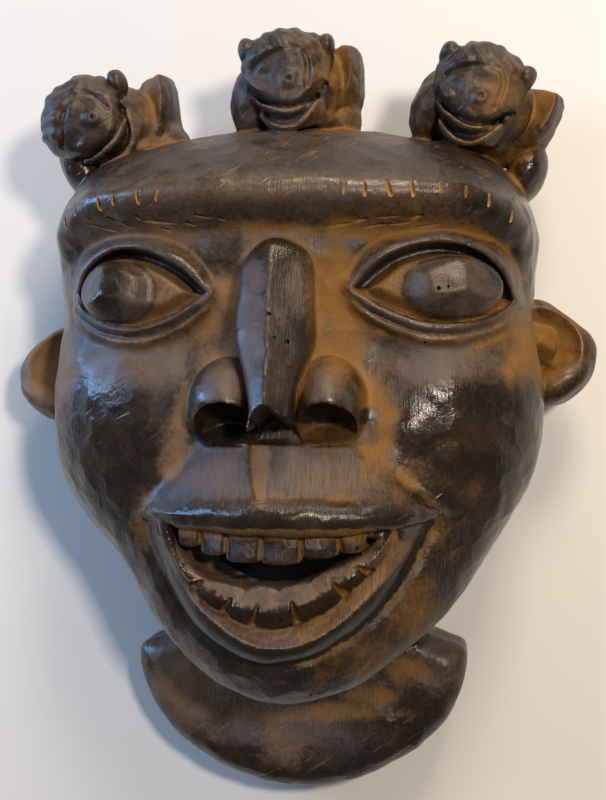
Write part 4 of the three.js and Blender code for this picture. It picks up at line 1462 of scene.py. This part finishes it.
# %% Dust between the teeth
GAP_WIDTHS = {"lower": (0.5, 2.4, 12.0), "upper": 1.7}
upper_teeth = within(x=(-56, 60), y=(-86, -64), z=(140, FAR)) & ~ledge_top & ~lip_slope
least, more, length = GAP_WIDTHS["lower"]
gap_half = least + more * np.clip((out - outer + GAP_REACH) / length, 0, 1)
in_gap = np.zeros(len(spots), bool)
for at in TEETH_GAPS:
    in_gap |= np.abs(np.radians(turn - at) * out) < gap_half
in_gap &= (ledge_front | ledge_top) & (out > outer - 4)
for gap in UPPER_GAPS[1:-1]:
    in_gap |= upper_teeth & (np.abs(sx - gap - GAP_SHIFT) < GAP_WIDTHS["upper"]) & (sy < -69)
at_root = 1 - smoothstep(2.0, 8.0, -66.0 - sy[upper_teeth])
clay[upper_teeth] = 0.85 * at_root + 0.5 * smoothstep(28, 44, sx[upper_teeth])
pale[upper_teeth], streaks[upper_teeth] = 0.35, 0.9
clay[in_gap] = 0.8
print("gaps between teeth have", int(in_gap.sum()), "points")

# %% [markdown]
# Round each eye there is clay in the socket and outside the lids, a worn rim, a band of
# painted shade under the overhanging upper lid, and a handled eyeball.

# %% Dust around the eyes
# band is painted shade under the upper lid: clay and pale are taken out, shade is laid in.
def dust_an_eye(eye):
    cx, cy, half_x, half_y = eye["ball"]
    box = within(x=(cx - 52, cx + 52), y=(cy - 36, cy + 36), z=(80, FAR))
    ex, ey = sx[box], sy[box]
    upper, lower, almond = eye_lines(eye)
    edge = almond_edge(ex, ey, almond)
    high = flat_distance(ex, ey, upper)[0] < flat_distance(ex, ey, lower)[0]
    band = np.where(high, smoothstep(-5.5, -3.5, edge) * (1 - smoothstep(-0.8, 0.6, edge)), 0)
    near_ball = np.hypot((ex - cx) / (half_x - 1.5), (ey - cy) / (half_y - 1.0))
    on_ball = 1 - smoothstep(0.86, 1.04, near_ball)
    rim = smoothstep(-1.0, 0.5, edge) * (1 - smoothstep(4.0, 7.0, edge))
    outside = smoothstep(4.0, 6.0, edge) * (1 - smoothstep(11.0, 15.0, edge))
    socket = np.maximum(np.where(edge < -0.5, 0.7, clay[box]), 0.5 * outside)
    clay[box] = np.clip(socket * (1 - band) * (1 - on_ball) * (1 - 0.4 * rim), 0, 1)
    glossy_side = on_ball * smoothstep(-82, -90, ex)
    worn_ball, worn_rim = 0.55 * on_ball * (1 - 0.8 * glossy_side), 0.6 * rim
    pale[box] = np.where(edge < 0, worn_ball, np.maximum(pale[box], worn_rim)) * (1 - band)
    off_ball = np.maximum(polish[box], 0.25 * band)
    polish[box] = np.where(on_ball > 0.5, 0.45 + 0.4 * glossy_side, off_ball)
    painted_shade[box] = 0.15 * band


for eye in EYES:
    dust_an_eye(eye)
print("eyes dusted")

# %% [markdown]
# Each fact becomes a number on every point of the mesh, which the material reads by name.

# %% Store the facts
FACTS = {
    "cracks": np.where(ledge_top, 0.45, 0.35 * polish), "clay": clay, "pale": pale,
    "polish": polish, "streaks": streaks, "painted_shade": painted_shade, "strokes": strokes,
}
for name, values in FACTS.items():
    store = mask.data.attributes.new(name, "FLOAT", "POINT")
    store.data.foreach_set("value", values.astype(np.float32))
    print(name, "covers", round(float((values > 0.5).mean() * 100), 1), "percent")

# %% [markdown]
# ## The finish of the wood
# The material starts from near-black oiled wood and lays the other tones over it with the
# stored facts as masks. Noise breaks up the edge of each mask so that no boundary looks
# drawn. Everything reads Object coordinates, so the pattern stays on the wood.

# %% Material helpers
wood_look.use_nodes = True
wood_tree = wood_look.node_tree
shader = wood_tree.nodes["Principled BSDF"]
node = functools.partial(add_node, wood_tree)
place = node("ShaderNodeTexCoord").outputs["Object"]


def feed(socket, value):
    if isinstance(value, bpy.types.NodeSocket):
        wood_tree.links.new(value, socket)
    else:
        socket.default_value = value


def maths(operation, a, b):
    made = node("ShaderNodeMath", operation=operation)
    feed(made.inputs[0], a)
    feed(made.inputs[1], b)
    return made.outputs[0]


def fact(name):
    return node("ShaderNodeAttribute", attribute_name=name).outputs["Fac"]


def blend(amount, under, over):
    made = node("ShaderNodeMix", data_type="RGBA")
    for socket, value in (("Factor", amount), ("A", under), ("B", over)):
        feed(made.inputs[socket], value)
    return made.outputs["Result"]


def ramp(value, low, high):
    made = node("ShaderNodeMapRange", interpolation_type="SMOOTHSTEP")
    for socket, number in (("Value", value), ("From Min", low), ("From Max", high)):
        feed(made.inputs[socket], number)
    return made.outputs["Result"]


def speckle(scale, detail, rough, vector=place, warp=0.0):
    made = node("ShaderNodeTexNoise")
    feed(made.inputs["Vector"], vector)
    made.inputs["Scale"].default_value = scale
    made.inputs["Detail"].default_value = detail
    made.inputs["Roughness"].default_value = rough
    made.inputs["Distortion"].default_value = warp
    return made.outputs["Fac"]


def broken_up(mask_value, *noises):
    # Adds each noise, centred on zero, by its amount.
    for noise, amount in noises:
        swing = maths("MULTIPLY", maths("SUBTRACT", noise, 0.5), amount)
        mask_value = maths("ADD", mask_value, swing)
    return mask_value


print("material starts with", len(wood_tree.nodes), "nodes")

# %% [markdown]
# Four noises are shared by colour, gloss and relief: stains about 70 mm across, wear about
# 15 mm across, grit of 2 or 3 mm, and the fibre of the wood, a noise pulled long down the
# face.

# %% Noises
FIBRE_SCALE = (1100.0, 55.0, 200.0)
large = speckle(14.0, 3.0, 0.5)
medium = speckle(65.0, 5.0, 0.6, warp=0.6)
small = speckle(420.0, 4.0, 0.6)
pulled = node("ShaderNodeMapping")
feed(pulled.inputs["Vector"], place)
pulled.inputs["Scale"].default_value = FIBRE_SCALE
fibre = speckle(1.0, 4.0, 0.6, pulled.outputs["Vector"])
print("fibre is", round(1000 / FIBRE_SCALE[0], 1), "mm wide and", 1000 // FIBRE_SCALE[1], "long")

# %% [markdown]
# The adze left shallow scoops about 12 mm across. A cell texture has the same look: one
# cell is one stroke. Each cell gets its own tone, a painted shade for the light that falls
# differently on each tilted scoop, and the line between two cells is a thin dark crest with
# dirt beside it. The coordinates are bent a little first, so that the lines between cells
# aren't straight.

# %% Adze scoops
SCOOP_SCALE, BEND_SCALE, BEND = 78.0, 90.0, 0.006
bend_noise = node("ShaderNodeTexNoise")
feed(bend_noise.inputs["Vector"], place)
bend_noise.inputs["Scale"].default_value = BEND_SCALE
bend = node("ShaderNodeVectorMath", operation="SCALE")
feed(bend.inputs[0], bend_noise.outputs["Color"])
bend.inputs["Scale"].default_value = BEND
bent = node("ShaderNodeVectorMath", operation="ADD")
feed(bent.inputs[0], place)
feed(bent.inputs[1], bend.outputs[0])


def cells(feature):
    made = node("ShaderNodeTexVoronoi", feature=feature)
    feed(made.inputs["Vector"], bent.outputs[0])
    made.inputs["Scale"].default_value = SCOOP_SCALE
    return made


scoops = cells("F1")
painted_scoop_shade = node("ShaderNodeSeparateColor")
feed(painted_scoop_shade.inputs[0], scoops.outputs["Color"])
to_crest = cells("DISTANCE_TO_EDGE").outputs["Distance"]
crest_line = maths("SUBTRACT", 1.0, ramp(to_crest, 0.0, 0.07))
print("a scoop is", round(1000 / SCOOP_SCALE, 1), "mm across")

# %% [markdown]
# Here and there the knife slipped and left short slanting strokes that dust has filled. A
# noise pulled long in one direction and cut off high gives such strokes.

# %% Knife strokes
STROKE_TURN, STROKE_SCALE = 0.62, (52.0, 330.0, 90.0)
slanted = node("ShaderNodeMapping", vector_type="TEXTURE")
feed(slanted.inputs["Vector"], place)
slanted.inputs["Rotation"].default_value = (0, 0, STROKE_TURN)
slanted.inputs["Scale"].default_value = [1 / value for value in STROKE_SCALE]
slips = ramp(speckle(1.0, 1.5, 0.5, slanted.outputs["Vector"]), 0.62, 0.76)
slips = maths("MULTIPLY", slips, fact("strokes"))
print("strokes lean by", round(math.degrees(STROKE_TURN)), "degrees")

# %% [markdown]
# Each layer of colour is a mask, a strength and a tone, laid over what is there. Clay is
# more golden on the right of the face, partly its own tone and partly painted warm light
# from that side, and worn wood is browner in some stains and more lilac in others. Painted
# shade and the fresh floor of the notches come last.

# %% Layers of colour
BLACK_OIL = (0.012, 0.008, 0.006, 1)
DARK_BROWN = (0.031, 0.0185, 0.0115, 1)
WORN_BROWN = (0.135, 0.088, 0.057, 1)
LILAC_GREY = (0.092, 0.066, 0.062, 1)
TAN_CLAY = (0.22, 0.115, 0.048, 1)
WARM_LIT_GOLD_CLAY = (0.235, 0.108, 0.015, 1)
FRESH_CUT = (0.40, 0.25, 0.10, 1)
# SHADE_BLACK is the tone of painted shade.
SHADE_BLACK = (0.010, 0.008, 0.006, 1)

across = node("ShaderNodeSeparateXYZ")
feed(across.inputs[0], place)
# Clay turns gold on the right: partly its own tone, partly painted warm light from that side.
clay_and_warm_light_tone = blend(ramp(across.outputs["X"], -0.01, 0.03), TAN_CLAY, WARM_LIT_GOLD_CLAY)
clay_mask = ramp(broken_up(fact("clay"), (medium, 0.7), (small, 0.5)), 0.15, 1.0)
pale_tone = blend(ramp(broken_up(large, (medium, 0.4)), 0.36, 0.62), WORN_BROWN, LILAC_GREY)
pale_mask = broken_up(fact("pale"), (large, 0.7), (medium, 0.65), (small, 0.45))
pale_mask = ramp(pale_mask, 0.15, 1.0)
dark_streak = maths("MULTIPLY", ramp(fibre, 0.48, 0.66), fact("streaks"))
light_thread = ramp(maths("SUBTRACT", 1.0, fibre), 0.56, 0.68)
light_thread = maths("MULTIPLY", light_thread, fact("streaks"))
dirt = maths("MULTIPLY", crest_line, fact("cracks"))
fresh = maths("MULTIPLY", fact("fresh"), ramp(fibre, 0.1, 0.6))

# Base wood: the oiled tone varies with the noises, and with a painted shade per scoop.
oil_and_scoop_shade = ramp(broken_up(medium, (small, 0.5), (painted_scoop_shade.outputs[0], 0.18)), 0.30, 0.74)
tone = blend(oil_and_scoop_shade, BLACK_OIL, DARK_BROWN)
LAYERS = [
    (pale_mask, 0.9, pale_tone), (clay_mask, 0.85, clay_and_warm_light_tone), (dark_streak, 0.55, DARK_BROWN),
    (light_thread, 0.35, TAN_CLAY), (slips, 0.4, TAN_CLAY), (dirt, 0.8, DARK_BROWN),
    (fact("painted_shade"), 1.0, SHADE_BLACK), (fresh, 1.0, FRESH_CUT),
]
for layer_mask, strength, over in LAYERS:
    tone = blend(maths("MULTIPLY", layer_mask, strength), tone, over)
feed(shader.inputs["Base Color"], tone)
print(len(LAYERS), "layers of colour over black wood")

# %% [markdown]
# Patches of polish are glossy and dust is dull, so roughness follows the same masks as
# colour. The relief under a millimetre is a height made of the scoops' round floors, wear,
# grit, fibre and the knife strokes.

# %% Gloss and fine relief
BASE_ROUGH, GLOSS_DROP, DUST_RISE = 0.42, 0.21, 0.32
RELIEF_DEPTH = 0.0009
polish_mask = ramp(broken_up(fact("polish"), (medium, 0.6)), 0.2, 0.8)
dull = maths("MAXIMUM", maths("MULTIPLY", pale_mask, 0.55), clay_mask)
rough = maths("SUBTRACT", BASE_ROUGH, maths("MULTIPLY", polish_mask, GLOSS_DROP))
rough = maths("ADD", rough, maths("MULTIPLY", dull, DUST_RISE))
feed(shader.inputs["Roughness"], broken_up(rough, (small, 0.18), (medium, 0.15)))
shader.inputs["Specular IOR Level"].default_value = 0.5

scoop_floor = maths("MULTIPLY", scoops.outputs["Distance"], scoops.outputs["Distance"])
raised_fibre = maths("MULTIPLY", fibre, maths("ADD", fact("streaks"), 0.25))
height = maths("MULTIPLY", scoop_floor, 0.8)
for source, amount in ((small, 0.16), (medium, 0.7), (raised_fibre, 0.6), (slips, -0.5)):
    height = maths("ADD", height, maths("MULTIPLY", source, amount))
relief = node("ShaderNodeBump")
relief.inputs["Strength"].default_value = 1.0
relief.inputs["Distance"].default_value = RELIEF_DEPTH
feed(relief.inputs["Height"], height)
feed(shader.inputs["Normal"], relief.outputs["Normal"])
print("material has", len(wood_tree.nodes), "nodes")

# %% [markdown]
# ## Floor, light and camera
# The mask lies on a pale floor. A cool window and a weak blue one stand to the left, and
# warm light comes from above the crown and from a small lamp, which gives the glints.

# %% Floor and light
bpy.ops.mesh.primitive_plane_add(size=6, location=(0, 0, 0))
floor = bpy.context.object
floor.name = "floor"
floor_look = bpy.data.materials.new("pale_floor")
floor_look.use_nodes = True
floor_shader = floor_look.node_tree.nodes["Principled BSDF"]
floor_shader.inputs["Base Color"].default_value = (0.8, 0.8, 0.8, 1)
floor.data.materials.append(floor_look)

LIT_MIDDLE = (0.0, 0.0, 0.1)
# Each light: its name, place, size in metres, power in watts and colour.
LIGHTS = [
    ("window", (-1.05, 0.45, 0.8), 0.4, 5.5, (0.48, 0.7, 1.0)),
    ("side_window", (-1.35, 0.38, 0.3), 0.3, 9, (0.22, 0.5, 1.0)),
    ("ceiling", (0.42, 1.75, 1.2), 0.6, 30, (1.0, 0.82, 0.62)),
    ("lamp", (0.55, 0.3, 1.4), 0.14, 12.5, (1.0, 0.87, 0.72)),
]
for name, at, size, power, colour in LIGHTS:
    light = bpy.data.lights.new(name, "AREA")
    light.shape, light.size, light.energy, light.color = "SQUARE", size, power, colour
    holder = bpy.data.objects.new(name, light)
    holder.location = at
    holder.rotation_mode = "QUATERNION"
    holder.rotation_quaternion = (Vector(LIT_MIDDLE) - Vector(at)).to_track_quat("-Z", "Y")
    bpy.context.scene.collection.objects.link(holder)
room = bpy.data.worlds.new("room")
room.use_nodes = True
room.node_tree.nodes["Background"].inputs["Color"].default_value = (1.0, 0.93, 0.86, 1)
room.node_tree.nodes["Background"].inputs["Strength"].default_value = 0.15
bpy.context.scene.world = room
bpy.context.scene.view_settings.view_transform = "Standard"
print(len(LIGHTS), "lights")

# %% [markdown]
# The camera looks down on the lying face and is turned by 6 degrees to its right, as the
# photo shows a little more of that side. Its lens gives the photo's own perspective.

# %% Camera
YAW = math.radians(6.0)
FAR_OFF = 0.8
SENSOR = 36
PHOTO_TALL, FOCAL_PIXELS = 800, 1433.7
AIM_RIGHT, AIM_HEIGHT = 5.0, 0.08
look_at = Vector(((AIM_RIGHT + FACE_X) / 1000, FACE_Y / 1000, AIM_HEIGHT))
camera_data = bpy.data.cameras.new("camera")
camera_data.sensor_width = SENSOR
camera_data.lens = FOCAL_PIXELS * SENSOR / PHOTO_TALL
camera = bpy.data.objects.new("camera", camera_data)
aim = Matrix.Translation(look_at) @ Matrix.Rotation(YAW, 4, "Y")
camera.matrix_world = aim @ Matrix.Translation((0, 0, FAR_OFF))
bpy.context.scene.collection.objects.link(camera)
bpy.context.scene.camera = camera
print("lens", round(camera_data.lens, 1), "mm, from", FAR_OFF, "m")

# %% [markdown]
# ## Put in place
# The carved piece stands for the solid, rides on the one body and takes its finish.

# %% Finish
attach(mask, "root")
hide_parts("mask")
